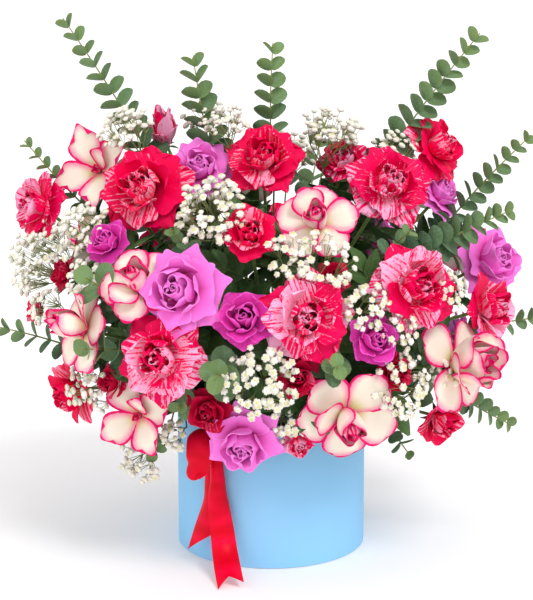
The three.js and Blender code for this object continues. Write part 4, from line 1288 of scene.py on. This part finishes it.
@dataclass(frozen=True)
class Tuft:
    """A tuft of gypsophila: its stem, its place on the dome, its spread and its florets."""

    stem: Pair
    out: float
    spread: float
    florets: int

    NECK = 1.1
    BEND = 0.13
    TURN = 2.4
    BRANCH_SHARE = 7
    BRANCH_SPREAD = 0.6
    OUTS = (0.62, 1.06)
    RADIUS = 3.6 * MM
    RADII = (0.62, 1.05)
    LOWEST = -0.5
    FLATNESS = 0.75
    STEM_RADII = (1.0 * MM, 0.7 * MM)
    BRANCH_RADII = (0.6 * MM, 0.5 * MM)
    TWIG_RADII = (0.38 * MM, 0.3 * MM)
    PETALS = 5.0
    RUFFLE = 0.3
    PETAL_RISE = 0.16
    HEIGHT = 0.72

    def grow(self, growth: Growth, fork: Vector | None, seed: int) -> None:
        """Adds the stem, its branches, the twigs and the florets.

        Args:
            growth: the mesh of the tuft's node.
            fork: where it leaves another stem, or None.
            seed: of its own random draws.
        """
        draw = random.Random(seed)
        axis = direction(*self.stem)
        reach = dome_reach(axis) * self.out
        neck = HEART + axis * (reach - self.NECK * self.spread)
        bend = min(self.BEND, reach - 1.3 * self.spread)
        growth.stem(axis, fork, bend, neck, self.STEM_RADII, Finish.TWIG, 5, (0.0, 0.3))
        place = upright(axis, HEART + axis * reach)
        branches = max(3, self.florets // self.BRANCH_SHARE)
        heads = []
        for i in range(branches):
            across = self.BRANCH_SPREAD * self.spread * math.sqrt((i + 0.5) / branches)
            spot = place @ around(self.TURN * i, across, -0.5 * self.spread)
            growth.rod(neck, spot, self.BRANCH_RADII, Finish.TWIG, 4, (0.3, 0.6))
            heads.append(spot)
        for i in range(self.florets):
            angle = self.TURN * i + draw.uniform(0.0, 0.6)
            high = draw.uniform(self.LOWEST, 1.0)
            out = self.spread * draw.uniform(*self.OUTS)
            across = out * math.sqrt(1.0 - high * high)
            spot = place @ around(angle, across, self.FLATNESS * out * high)
            near = min(heads, key=lambda head: (head - spot).length)
            growth.rod(near, spot, self.TWIG_RADII, Finish.TWIG, 3, (0.6, 1.0))
            way = (spot - near).normalized() + axis * 0.6
            self.grow_floret(growth, spot, way.normalized(), draw)

    def grow_floret(self, growth: Growth, spot: Vector, way: Vector, draw: random.Random) -> None:
        """Adds a floret: a closed ball that ruffles out into petals.

        Args:
            growth: the mesh of the tuft's node.
            spot: end of its twig.
            way: unit vector that it faces.
            draw: source of its turn and size.
        """
        radius = self.RADIUS * draw.uniform(*self.RADII)
        turn = draw.uniform(0.0, 2.0 * math.pi)
        shade = draw.random()
        matrix = upright(way, spot + way * 0.5 * radius)
        made = bmesh.ops.create_uvsphere(growth.mesh, u_segments=10, v_segments=5, radius=1.0)
        for vert in made["verts"]:
            high = 0.5 * (vert.co.z + 1.0)
            angle = math.atan2(vert.co.y, vert.co.x)
            open_share = math.sin(math.pi * min(1.0, high * 1.05)) if high > 0.05 else 0.0
            ruffle = 1.0 + self.RUFFLE * math.cos(self.PETALS * (angle + 1.3 * high)) * open_share
            x, y, z = vert.co
            rise = self.HEIGHT * z + self.PETAL_RISE * math.cos(self.PETALS * angle + 2.5) * open_share
            vert[growth.tone] = (high, shade, 0.0)
            vert.co = matrix @ Vector((x * ruffle * radius, y * ruffle * radius, rise * radius))
        bmesh.ops.rotate(growth.mesh, verts=made["verts"], cent=matrix.translation,
                         matrix=Matrix.Rotation(turn, 3, way))
        growth.dress(made["verts"], Finish.FLORET)


# What stands in the foam, by CAD node. The first of a node stands in it and the others branch off.
ROSES: dict[str, tuple[Rose, ...]] = {
    "rose_white_1": (Rose(Form.POINTED_WHITE, Finish.WHITE, (-101, 49), 1.13, 0.076, (-30, 25), 30),),
    "rose_white_2": (Rose(Form.WHITE, Finish.WHITE, (20, 55), 1.0, 0.072, (-5, 35), 90),),
    "rose_white_3": (Rose(Form.WHITE, Finish.WHITE, (-41, 34), 1.0, 0.074, (-20, 42), 200),),
    "rose_white_4": (Rose(Form.WHITE, Finish.WHITE, (-57, 20), 1.0, 0.082, (-60, 20), 20),),
    "rose_white_5": (Rose(Form.CUPPED_WHITE, Finish.WHITE, (58, 11), 1.0, 0.084, (50, 14), 110),),
    "rose_white_6": (Rose(Form.OPEN_WHITE, Finish.WHITE, (-46, -2), 1.0, 0.072, (-22, 6), 30),),
    "rose_white_7": (Rose(Form.WHITE, Finish.WHITE, (24, 2), 1.0, 0.089, (8, -14), 126),),
    "rose_lilac_1": (Rose(Form.LILAC, Finish.LILAC, (-92, 71), 0.98, 0.064, (0, 38), 60),),
    "rose_lilac_2": (Rose(Form.LILAC, Finish.LILAC, (100, 46), 1.02, 0.050, (60, 40), 0),),
    "rose_lilac_3": (Rose(Form.LILAC, Finish.LILAC, (91, 28), 1.0, 0.074, (42, 24), 90),),
    "rose_lilac_4": (Rose(Form.SMALL, Finish.VIOLET, (-62, 41), 0.98, 0.046, (-40, 38), 15),),
    "rose_lilac_5": (Rose(Form.LILAC, Finish.LILAC, (-27, 35), 1.0, 0.082, (-22, 20), 80),),
    "rose_lilac_6": (Rose(Form.SMALL, Finish.VIOLET, (-8, 30), 0.96, 0.056, (-5, 30), 50),),
    "rose_lilac_7": (Rose(Form.SMALL, Finish.VIOLET, (30, 23), 0.96, 0.050, (25, 15), 70),),
    "rose_lilac_8": (Rose(Form.LILAC, Finish.LILAC, (-10, -7), 1.02, 0.072, (-5, -20), 100),),
    "rose_striped_left": (
        Rose(Form.RUFFLED, Finish.STRIPED, (-95, 36), 1.17, 0.066, (-55, 16), 30),
        Rose(Form.SMALL, Finish.DARK, (-78, 29), 0.96, 0.036, (-70, 25), 10),
        Rose(Form.SMALL, Finish.CRIMSON, (-86, 17), 1.02, 0.034, (-78, 10), 25),
    ),
    "rose_striped_top": (
        Rose(Form.RUFFLED, Finish.STRIPED, (71, 59), 1.02, 0.080, (15, 35), 75),
        Rose(Form.SMALL, Finish.STRIPED, (118, 68), 1.0, 0.050, (-10, 50), 40),
    ),
    "rose_striped_middle": (
        Rose(Form.RUFFLED, Finish.STRIPED, (10, 30), 1.0, 0.080, (2, 14), 10),
        Rose(Form.SMALL, Finish.DARK, (22, 41), 0.92, 0.034, (15, 30), 50),
    ),
    "rose_striped_low": (
        Rose(Form.RUFFLED, Finish.FLAMED, (-31, 18), 1.0, 0.082, (-18, 12), 55),
        Rose(Form.SMALL, Finish.DARK, (-20, 4), 0.96, 0.046, (-14, -6), 75),
        Rose(Form.SMALL, Finish.DARK, (-52, 8), 0.94, 0.036, (-45, 5), 60),
    ),
    "rose_striped_right": (Rose(Form.RUFFLED, Finish.FLAMED, (44, 33), 1.0, 0.082, (28, 22), 35),),
    "rose_striped_edge": (Rose(Form.SMALL, Finish.STRIPED, (74, 21), 0.97, 0.066, (58, 14), 20),),
    "rose_crimson_upper": (
        Rose(Form.RUFFLED, Finish.CRIMSON, (-77, 57), 1.0, 0.086, (-18, 32), 20),
        Rose(Form.TIGHT_BUD, Finish.STRIPED, (-114, 63), 1.12, 0.040, (-20, 70), 0),
    ),
    "rose_crimson_crown": (Rose(Form.RUFFLED, Finish.CRIMSON, (-40, 87), 1.0, 0.074, (0, 42), 85),),
    "rose_crimson_right": (Rose(Form.RUFFLED, Finish.CRIMSON, (104, 53), 1.19, 0.068, (58, 28), 70),),
    "rose_crimson_middle": (Rose(Form.SMALL, Finish.CRIMSON, (-9, 53), 0.98, 0.054, (0, 30), 35),),
    "rose_crimson_low_left": (Rose(Form.SMALL, Finish.CRIMSON, (-77, -1), 1.01, 0.064, (-56, -20), 80),),
    "rose_crimson_low_right": (
        Rose(Form.SMALL, Finish.CRIMSON, (71, -9), 1.03, 0.054, (42, -26), 45),
        Rose(Form.SMALL, Finish.DARK, (38, 13), 0.94, 0.038, (30, 5), 15),
    ),
    "rose_crimson_low": (
        Rose(Form.SMALL, Finish.DARK, (8, 15), 0.92, 0.042, (5, 10), 30),
        Rose(Form.SMALL, Finish.STRIPED, (10, -10), 1.0, 0.032, (6, -20), 65),
    ),
}


# Tiers of the back: rise, size, bearings, and a letter for each rose's form.
BACK_TIERS: tuple[tuple[float, float, tuple[float, ...], str], ...] = (
    (3, 0.074, (108, 135, 163, 191, 219, 246), "lcswlc"),
    (27, 0.078, (116, 148, 180, 212, 241), "wlcsw"),
    (51, 0.076, (146, 188, 228), "swl"),
)
BACK_FORMS = {
    "l": (Form.LILAC, Finish.LILAC),
    "w": (Form.WHITE, Finish.WHITE),
    "c": (Form.SMALL, Finish.CRIMSON),
    "s": (Form.SMALL, Finish.STRIPED),
}
BACK_LEAN = 0.8
BACK_TURN = 37
BACK_NODES: dict[str, tuple[int, ...]] = {
    "roses_back_right": (1, 2, 7),
    "roses_back_low": (3, 4, 9),
    "roses_back_left": (5, 6, 11),
    "roses_back_upper": (12, 8, 13, 10, 14),
}

SPRAYS: dict[str, tuple[Spray, ...]] = {
    "eucalyptus_1": (Spray((-107, 59), (-103, 59, 0.392), 14, 0.022, 0.0),),
    "eucalyptus_2": (Spray((-118, 73), (-114, 75, 0.312), 9, 0.027, 0.0),),
    "eucalyptus_3": (Spray((176, 78), (178, 82, 0.316), 9, 0.023, 0.0),),
    "eucalyptus_4": (Spray((107, 62), (102, 58, 0.380), 14, 0.024, 0.0),),
    "eucalyptus_5": (Spray((96, 39), (94, 43, 0.336), 11, 0.018),),
    "eucalyptus_6": (
        Spray((59, 42), (77, 37, 0.286), 10, 0.021),
        Spray((52, 46), (50, 45, 0.236), 3, 0.015),
    ),
    "eucalyptus_7": (Spray((-106, 39), (-98, 43, 0.324), 10, 0.016),),
    "eucalyptus_8": (
        Spray((-82, 9), (-87, 11, 0.275), 7, 0.018),
        Spray((-46, 18), (-50, 16, 0.232), 4, 0.029),
    ),
    "eucalyptus_9": (Spray((86, 14), (87, 13, 0.269), 7, 0.017),),
    "eucalyptus_10": (
        Spray((78, 1), (81, -10, 0.236), 8, 0.017),
        Spray((52, -7), (57, -20, 0.166), 4, 0.017),
    ),
    "eucalyptus_11": (
        Spray((-54, -9), (-48, -19, 0.158), 4, 0.018),
        Spray((-27, 5), (-27, 5, 0.188), 3, 0.018),
    ),
    "eucalyptus_12": (
        Spray((-52, 31), (-52, 31, 0.248), 4, 0.031),
        Spray((-39, 49), (-36, 48, 0.230), 3, 0.015),
    ),
    "eucalyptus_13": (
        Spray((-14, 17), (-14, 15, 0.208), 4, 0.028),
        Spray((18, 17), (17, 17, 0.212), 4, 0.021),
    ),
    "eucalyptus_back_1": (
        Spray((128, 38), (128, 40, 0.300), 7, 0.021),
        Spray((165, 40), (165, 44, 0.300), 6, 0.021),
    ),
    "eucalyptus_back_2": (
        Spray((232, 38), (232, 42, 0.300), 7, 0.021),
        Spray((203, 15), (203, 17, 0.250), 5, 0.020),
    ),
}

TUFTS: dict[str, tuple[Tuft, ...]] = {
    "gypsophila_1": (
        Tuft((-25, 55), 1.06, 0.034, 116),
        Tuft((-95, 80), 1.17, 0.022, 40),
        Tuft((-92, 60), 1.25, 0.026, 60),
        Tuft((-125, 72), 1.2, 0.020, 34),
    ),
    "gypsophila_2": (
        Tuft((16, 42), 1.06, 0.028, 56),
        Tuft((5, 44), 1.05, 0.020, 30),
        Tuft((26, 30), 1.04, 0.024, 40),
        Tuft((36, 24), 1.02, 0.018, 24),
    ),
    "gypsophila_3": (
        Tuft((-3, 14), 1.05, 0.032, 92),
        Tuft((6, -3), 0.92, 0.018, 28),
    ),
    "gypsophila_4": (
        Tuft((38, 9), 1.03, 0.030, 60),
        Tuft((54, 30), 1.03, 0.018, 22),
        Tuft((56, 10), 0.97, 0.022, 40),
    ),
    "gypsophila_5": (
        Tuft((-88, 28), 1.06, 0.036, 110),
        Tuft((-72, 40), 1.04, 0.028, 70),
        Tuft((-64, 31), 0.98, 0.020, 36),
        Tuft((-80, 19), 1.0, 0.020, 32),
    ),
    "gypsophila_6": (
        Tuft((118, 74), 1.12, 0.030, 84),
        Tuft((100, 60), 1.11, 0.025, 50),
        Tuft((170, 63), 1.05, 0.026, 44),
    ),
    "gypsophila_7": (
        Tuft((-62, 4), 1.04, 0.020, 30),
        Tuft((-58, 4), 1.0, 0.022, 20),
        Tuft((-55, -22), 1.26, 0.020, 36),
        Tuft((-38, -10), 1.0, 0.014, 20),
    ),
    "gypsophila_back": (
        Tuft((178, 13), 1.05, 0.028, 48),
        Tuft((125, 14), 1.05, 0.026, 44),
        Tuft((232, 15), 1.05, 0.026, 44),
    ),
}


def back_roses() -> dict[str, tuple[Rose, ...]]:
    """Roses of the back, in tiers.

    Returns:
        The roses of each node.
    """
    roses = []
    for rise, size, bearings, forms in BACK_TIERS:
        for bearing, letter in zip(bearings, forms):
            first = (len(roses) + 1) * BACK_TURN
            roses.append(Rose(*BACK_FORMS[letter], (bearing, rise), 1.0, size, (bearing, rise * BACK_LEAN),
                              first, True))
    return {node: tuple(roses[number - 1] for number in numbers) for node, numbers in BACK_NODES.items()}


@dataclass
class Bouquet:
    """All that stands in the foam, by node: roses, eucalyptus and gypsophila."""

    roses: dict[str, tuple[Rose, ...]] = field(default_factory=lambda: {**ROSES, **back_roses()})
    sprays: dict[str, tuple[Spray, ...]] = field(default_factory=lambda: SPRAYS)
    tufts: dict[str, tuple[Tuft, ...]] = field(default_factory=lambda: TUFTS)
    seed: int = 1

    def build(self) -> None:
        """Builds one piece for each node."""
        for node, members in self.roses.items():
            petals = tuple(dict.fromkeys(rose.finish for rose in members))
            self.grow_node(node, members, (*petals, Finish.ROSE_STEM, Finish.ROSE_LEAF), rose_slot(node))
        for node, members in self.sprays.items():
            self.grow_node(node, members, (Finish.EUCALYPTUS_LEAF, Finish.EUCALYPTUS_STEM), "eucalyptus")
        for node, members in self.tufts.items():
            self.grow_node(node, members, (Finish.FLORET, Finish.TWIG), "gypsophila")

    def grow_node(self, node: str, members: tuple[Rose | Spray | Tuft, ...], finishes: tuple[Finish, ...],
                  slot: str) -> None:
        """Builds the piece of one node. Its first member stands in the foam and the others branch off.

        Args:
            node: the CAD node.
            members: its roses, sprays or tufts.
            finishes: the finishes on it.
            slot: the record's material slot.
        """
        growth = Growth(finishes)
        fork = None
        for member in members:
            member.grow(growth, fork, self.seed)
            fork = HEART + direction(*members[0].stem) * FORK
            self.seed += 1
        growth.piece(node + "_piece", [node], slot)


def rose_slot(node: str) -> str:
    """Slot of a node of roses.

    Args:
        node: the CAD node.

    Returns:
        The record's slot.
    """
    for word in ("white", "lilac", "striped"):
        if word in node:
            return "rose_" + word
    return "rose_crimson"


@dataclass
class HatBox:
    """Round paper-covered board box: a straight wall, and a base disc set in it."""

    radius: float = 0.090
    height: float = 0.140
    wall: float = 0.0025
    base: float = 0.0025
    gap: float = 0.0003
    sides: int = 96
    crease: float = 35.0

    def build(self) -> None:
        """Builds the wall and the base, and dresses the liner and the foam."""
        self.lathe("box_wall_piece", self.wall_profile(), "box_wall", (Finish.BOX, Finish.BOX_INSIDE))
        self.lathe("box_base_piece", self.base_profile(), "box_base", (Finish.BOX, Finish.BOX_INSIDE))
        for node, finish in (("liner", Finish.LINER), ("foam", Finish.FOAM)):
            data = frame["nodes"][node].data
            data.materials.clear()
            data.materials.append(finish.material())

    def wall_profile(self) -> list[Pair]:
        """Section of the wall, with softened edges.

        Returns:
            Radius and height of each corner.
        """
        soft = 0.3 * self.wall
        inner = self.radius - self.wall
        return [
            (self.radius - soft, 0.0), (self.radius - 0.3 * soft, 0.3 * soft), (self.radius, soft),
            (self.radius, 0.5 * self.height), (self.radius, self.height - soft),
            (self.radius - 0.3 * soft, self.height - 0.3 * soft), (self.radius - soft, self.height),
            (inner + soft, self.height), (inner, self.height - soft), (inner, soft), (inner + soft, 0.0),
        ]

    def base_profile(self) -> list[Pair]:
        """Radius and height round the base disc's section."""
        edge = self.radius - self.wall - self.gap
        return [(0.0, 0.0), (edge, 0.0), (edge, self.base), (0.0, self.base)]

    def lathe(self, name: str, profile: list[Pair], node: str, finishes: tuple[Finish, Finish]) -> None:
        """Spins a closed profile round the axis.

        Args:
            name: the piece's name.
            profile: radius and height of its corners.
            node: the CAD node that it stands for.
            finishes: outside and inside.
        """
        made = bmesh.new()
        verts = [made.verts.new((r, 0.0, z)) for r, z in profile]
        edges = [made.edges.new((a, b)) for a, b in zip(verts, verts[1:] + verts[:1])]
        bmesh.ops.spin(made, geom=verts + edges, axis=(0, 0, 1), cent=(0, 0, 0), steps=self.sides,
                       angle=2 * math.pi, use_merge=True)
        bmesh.ops.remove_doubles(made, verts=made.verts, dist=1e-6)
        bmesh.ops.dissolve_degenerate(made, dist=1e-7, edges=made.edges)
        bmesh.ops.recalc_face_normals(made, faces=made.faces)
        inner = self.radius - 0.5 * self.wall
        for face in made.faces:
            middle = face.calc_center_median()
            face.material_index = int(math.hypot(middle.x, middle.y) < inner)
            face.smooth = True
        materials = [finish.material() for finish in finishes]
        adopt(solid(made, name, materials, self.crease), [node])


@dataclass(frozen=True)
class Station:
    """Place of a ribbon, the way its face looks there, and the part of its width that is left."""

    at: Triple
    face: Triple
    spread: float


RIBBON_WIDTH = 0.025
RIBBON_THICKNESS = 0.0004

# The loop goes out of the knot, forward and down, and back up into it. The tails hang from under it.
LOOP = (
    Station((-0.061, -0.078, 0.127), (-0.1, -0.5, 0.8), 0.4),
    Station((-0.064, -0.088, 0.137), (-0.1, -0.5, 0.8), 0.7),
    Station((-0.067, -0.097, 0.131), (-0.1, -0.8, 0.4), 0.9),
    Station((-0.067, -0.101, 0.118), (-0.1, -1.0, 0.0), 0.97),
    Station((-0.070, -0.100, 0.103), (-0.3, -0.9, -0.1), 0.86),
    Station((-0.0765, -0.096, 0.092), (-0.7, -0.5, -0.6), 0.58),
    Station((-0.071, -0.091, 0.090), (-0.3, 0.1, -1.0), 0.58),
    Station((-0.061, -0.087, 0.103), (0.6, 0.5, -0.3), 0.7),
    Station((-0.062, -0.082, 0.121), (0.3, 0.9, 0.0), 0.4),
)
LEFT_TAIL = (
    Station((-0.062, -0.076, 0.119), (-0.3, -1.0, 0.0), 0.4),
    Station((-0.059, -0.077, 0.103), (-0.5, -0.85, 0.0), 0.5),
    Station((-0.058, -0.079, 0.084), (-0.5, -0.85, 0.0), 0.7),
    Station((-0.0585, -0.082, 0.062), (-0.6, -0.8, 0.0), 0.85),
    Station((-0.0635, -0.083, 0.040), (-0.7, -0.7, 0.0), 0.97),
    Station((-0.0715, -0.084, 0.012), (-0.7, -0.7, 0.0), 0.98),
)
RIGHT_TAIL = (
    Station((-0.058, -0.079, 0.121), (0.1, -1.0, 0.0), 0.35),
    Station((-0.052, -0.086, 0.109), (0.1, -1.0, 0.0), 0.35),
    Station((-0.049, -0.092, 0.088), (0.2, -1.0, 0.0), 0.5),
    Station((-0.0485, -0.096, 0.068), (0.2, -1.0, 0.0), 0.75),
    Station((-0.045, -0.101, 0.040), (0.15, -0.95, 0.2), 0.88),
    Station((-0.043, -0.108, 0.024), (0.1, -0.8, 0.5), 0.95),
    Station((-0.0405, -0.124, 0.0125), (-0.1, -0.5, 0.8), 0.98),
    Station((-0.0376, -0.145, 0.0053), (-0.25, -0.2, 0.95), 0.98),
)


def gather(spread: float) -> float:
    """Half angle of the arc that a gathered ribbon bends into.

    Args:
        spread: its chord as a part of its own width.

    Returns:
        The angle in radians.
    """
    low, high = 0.01, math.pi
    for _ in range(24):
        middle = 0.5 * (low + high)
        if math.sin(middle) / middle > spread:
            low = middle
        else:
            high = middle
    return low


@dataclass
class Strip:
    """A stretch of ribbon through its stations, on a smooth curve."""

    name: str
    stations: tuple[Station, ...]
    held: str
    notch: float = 0.0
    slant: float = 0.0
    width: float = RIBBON_WIDTH
    thickness: float = RIBBON_THICKNESS
    steps: int = 12

    def values(self, part: float) -> tuple[Vector, Vector, float]:
        """Place, face and spread at a part of the row of stations.

        Args:
            part: from 0 to 1.

        Returns:
            The three values on a smooth curve through the stations.
        """
        count = len(self.stations)
        row = [Vector((*s.at, *s.face, s.spread)) for s in self.stations]
        position = min(max(part, 0.0), 1.0) * (count - 1)
        low = min(int(position), count - 2)
        t = position - low
        p, q, r, s = (row[min(max(low + k, 0), count - 1)] for k in (-1, 0, 1, 2))
        # A smooth curve: it passes the stations q and r, and p and s give it their direction.
        made = 0.5 * (2 * q + (r - p) * t + (2 * p - 5 * q + 4 * r - s) * t * t
                      + (3 * q - p - 3 * r + s) * t ** 3)
        return Vector(made[0:3]), Vector(made[3:6]), made[6]

    def build(self) -> bpy.types.Object:
        """Builds the strip as a sheet of ribbon.

        Returns:
            The piece.
        """
        fine = self.steps * (len(self.stations) - 1)
        points = [self.values(i / fine)[0] for i in range(fine + 1)]
        lengths = [0.0]
        for a, b in zip(points, points[1:]):
            lengths.append(lengths[-1] + (b - a).length)
        total = lengths[-1]

        def surface(across: float, part: float) -> tuple[Vector, Vector]:
            """Point of the ribbon.

            Args:
                across: from -1 to 1.
                part: from 0 to 1 along the ribbon.

            Returns:
                The point in the part's frame, and its millimetres across, along and from the rim.
            """
            run = part * (total - self.notch * (1.0 - abs(across)) - 0.5 * self.slant * (1.0 - across))
            i = max(k for k in range(fine) if lengths[k] <= run + 1e-9)
            share = (i + (run - lengths[i]) / (lengths[i + 1] - lengths[i])) / fine
            at, face, spread = self.values(share)
            along = (self.values(share + 0.01)[0] - self.values(share - 0.01)[0]).normalized()
            side = along.cross(face).normalized()
            bend = gather(min(spread, 0.995))
            half = 0.5 * self.width
            sideways = half * math.sin(bend * across) / bend
            behind = half * (1.0 - math.cos(bend * across)) / bend
            point = at + side * sideways - side.cross(along) * behind
            return point, millimetres(across, half, run)

        growth = Growth((Finish.RIBBON,))
        growth.blade(surface, (10, 60), Finish.RIBBON, self.thickness, 0.5)
        piece = growth.piece(self.name, ["ribbon_bow"], "ribbon")
        return piece


@dataclass
class RibbonBow:
    """Satin bow: a loop and two tails of one ribbon, with a short band round them as the knot."""

    knot: Triple = (-0.062, -0.079, 0.123)
    knot_radius: float = 0.0100
    knot_half_width: float = 0.0098

    def build(self) -> None:
        """Builds the loop, the tails and the knot."""
        Strip("ribbon_loop", LOOP, "folded").build()
        Strip("ribbon_tail_left", LEFT_TAIL, "hung", slant=0.026).build()
        Strip("ribbon_tail_right", RIGHT_TAIL, "hung", notch=0.012).build()
        self.knot_band()

    def knot_band(self) -> None:
        """Builds the band round the knot: wrapped round once, drawn in at its sides, with fine folds."""
        growth = Growth((Finish.RIBBON,))
        turn = math.atan2(self.knot[1], self.knot[0]) + 0.5 * math.pi
        place = Matrix.Translation(self.knot) @ Matrix.Rotation(turn, 4, "Z")
        length = 2.0 * math.pi * 0.95 * self.knot_radius

        def surface(across: float, part: float) -> tuple[Vector, Vector]:
            """Point of the band.

            Args:
                across: from -1 to 1.
                part: from 0 to 1 round the knot.

            Returns:
                The point in the part's frame, and its millimetres across, along and from the rim.
            """
            angle = length / self.knot_radius * part + 0.5 * math.pi
            radius = self.knot_radius * (0.94 - 0.16 * across * across + 0.05 * math.cos(8.0 * across))
            point = Vector((self.knot_half_width * across, radius * math.cos(angle),
                            1.05 * radius * math.sin(angle)))
            return place @ point, millimetres(across, 0.5 * RIBBON_WIDTH, part * length)

        growth.blade(surface, (14, 28), Finish.RIBBON, RIBBON_THICKNESS, 0.5)
        piece = growth.piece("ribbon_knot", ["ribbon_bow"], "ribbon")


@dataclass
class Studio:
    """Pale floor and world, soft lights, and the camera at the photograph's angle."""

    pitch: float = 14.4
    distance: float = 2.4
    target: Triple = (-0.0045, 0.0, 0.238)
    focal_pixels: float = 2520.0
    image_height: float = 600.0
    sensor: float = 36.0
    floor_half: float = 6.0
    floor_depth: float = 0.0006
    world_strength: float = 0.84

    def build(self) -> None:
        """Builds the camera, the floor, the world and the lights."""
        self.camera()
        self.floor()
        self.world()
        self.sun("key", Vector((-0.45, 0.75, -1.0)), 1.3, 20.0)
        self.sun("fill", Vector((0.8, 0.6, -0.5)), 0.25, 50.0)
        view = bpy.context.scene.view_settings
        view.view_transform = "Standard"
        view.look = "None"

    def camera(self) -> None:
        """Adds the camera."""
        data = bpy.data.cameras.new("camera")
        data.sensor_width = self.sensor
        data.lens = self.focal_pixels * self.sensor / self.image_height
        data.clip_start, data.clip_end = 0.05, 30.0
        made = add_object("camera", data)
        pitch = math.radians(self.pitch)
        back = Vector((0.0, -math.cos(pitch), math.sin(pitch))) * self.distance
        made.location = Vector(self.target) + back
        made.rotation_euler = (0.5 * math.pi - pitch, 0.0, 0.0)
        bpy.context.scene.camera = made

    def floor(self) -> None:
        """Adds the floor."""
        made = bmesh.new()
        bmesh.ops.create_grid(made, x_segments=1, y_segments=1, size=self.floor_half)
        shader = Shader("floor")
        shader.paint(srgb(250, 250, 250))
        shader.set(roughness=0.9, emission_strength=0.1)
        floor = solid(made, "floor", [shader.material])
        floor.location.z = -self.floor_depth

    def world(self) -> None:
        """Sets an even white world."""
        world = bpy.data.worlds.new("studio")
        world.use_nodes = True
        background = world.node_tree.nodes["Background"]
        background.inputs["Color"].default_value = (1.0, 1.0, 1.0, 1.0)
        background.inputs["Strength"].default_value = self.world_strength
        bpy.context.scene.world = world

    def sun(self, name: str, way: Vector, strength: float, softness: float) -> None:
        """Adds a far soft light.

        Args:
            name: its name.
            way: direction that its light goes in.
            strength: of the light.
            softness: degrees that it is across.
        """
        data = bpy.data.lights.new(name, "SUN")
        data.energy = strength
        data.angle = math.radians(softness)
        made = add_object(name, data)
        made.rotation_euler = way.to_track_quat("-Z", "Y").to_euler()
        made.location = -2.0 * way


def main() -> None:
    """Builds the object's sub-assemblies in order, then the studio."""
    logging.basicConfig(level=logging.INFO, format="%(name)s %(message)s", stream=sys.stdout)
    HatBox().build()
    RibbonBow().build()
    Bouquet().build()
    Studio().build()


if __name__ == "__main__":
    main()
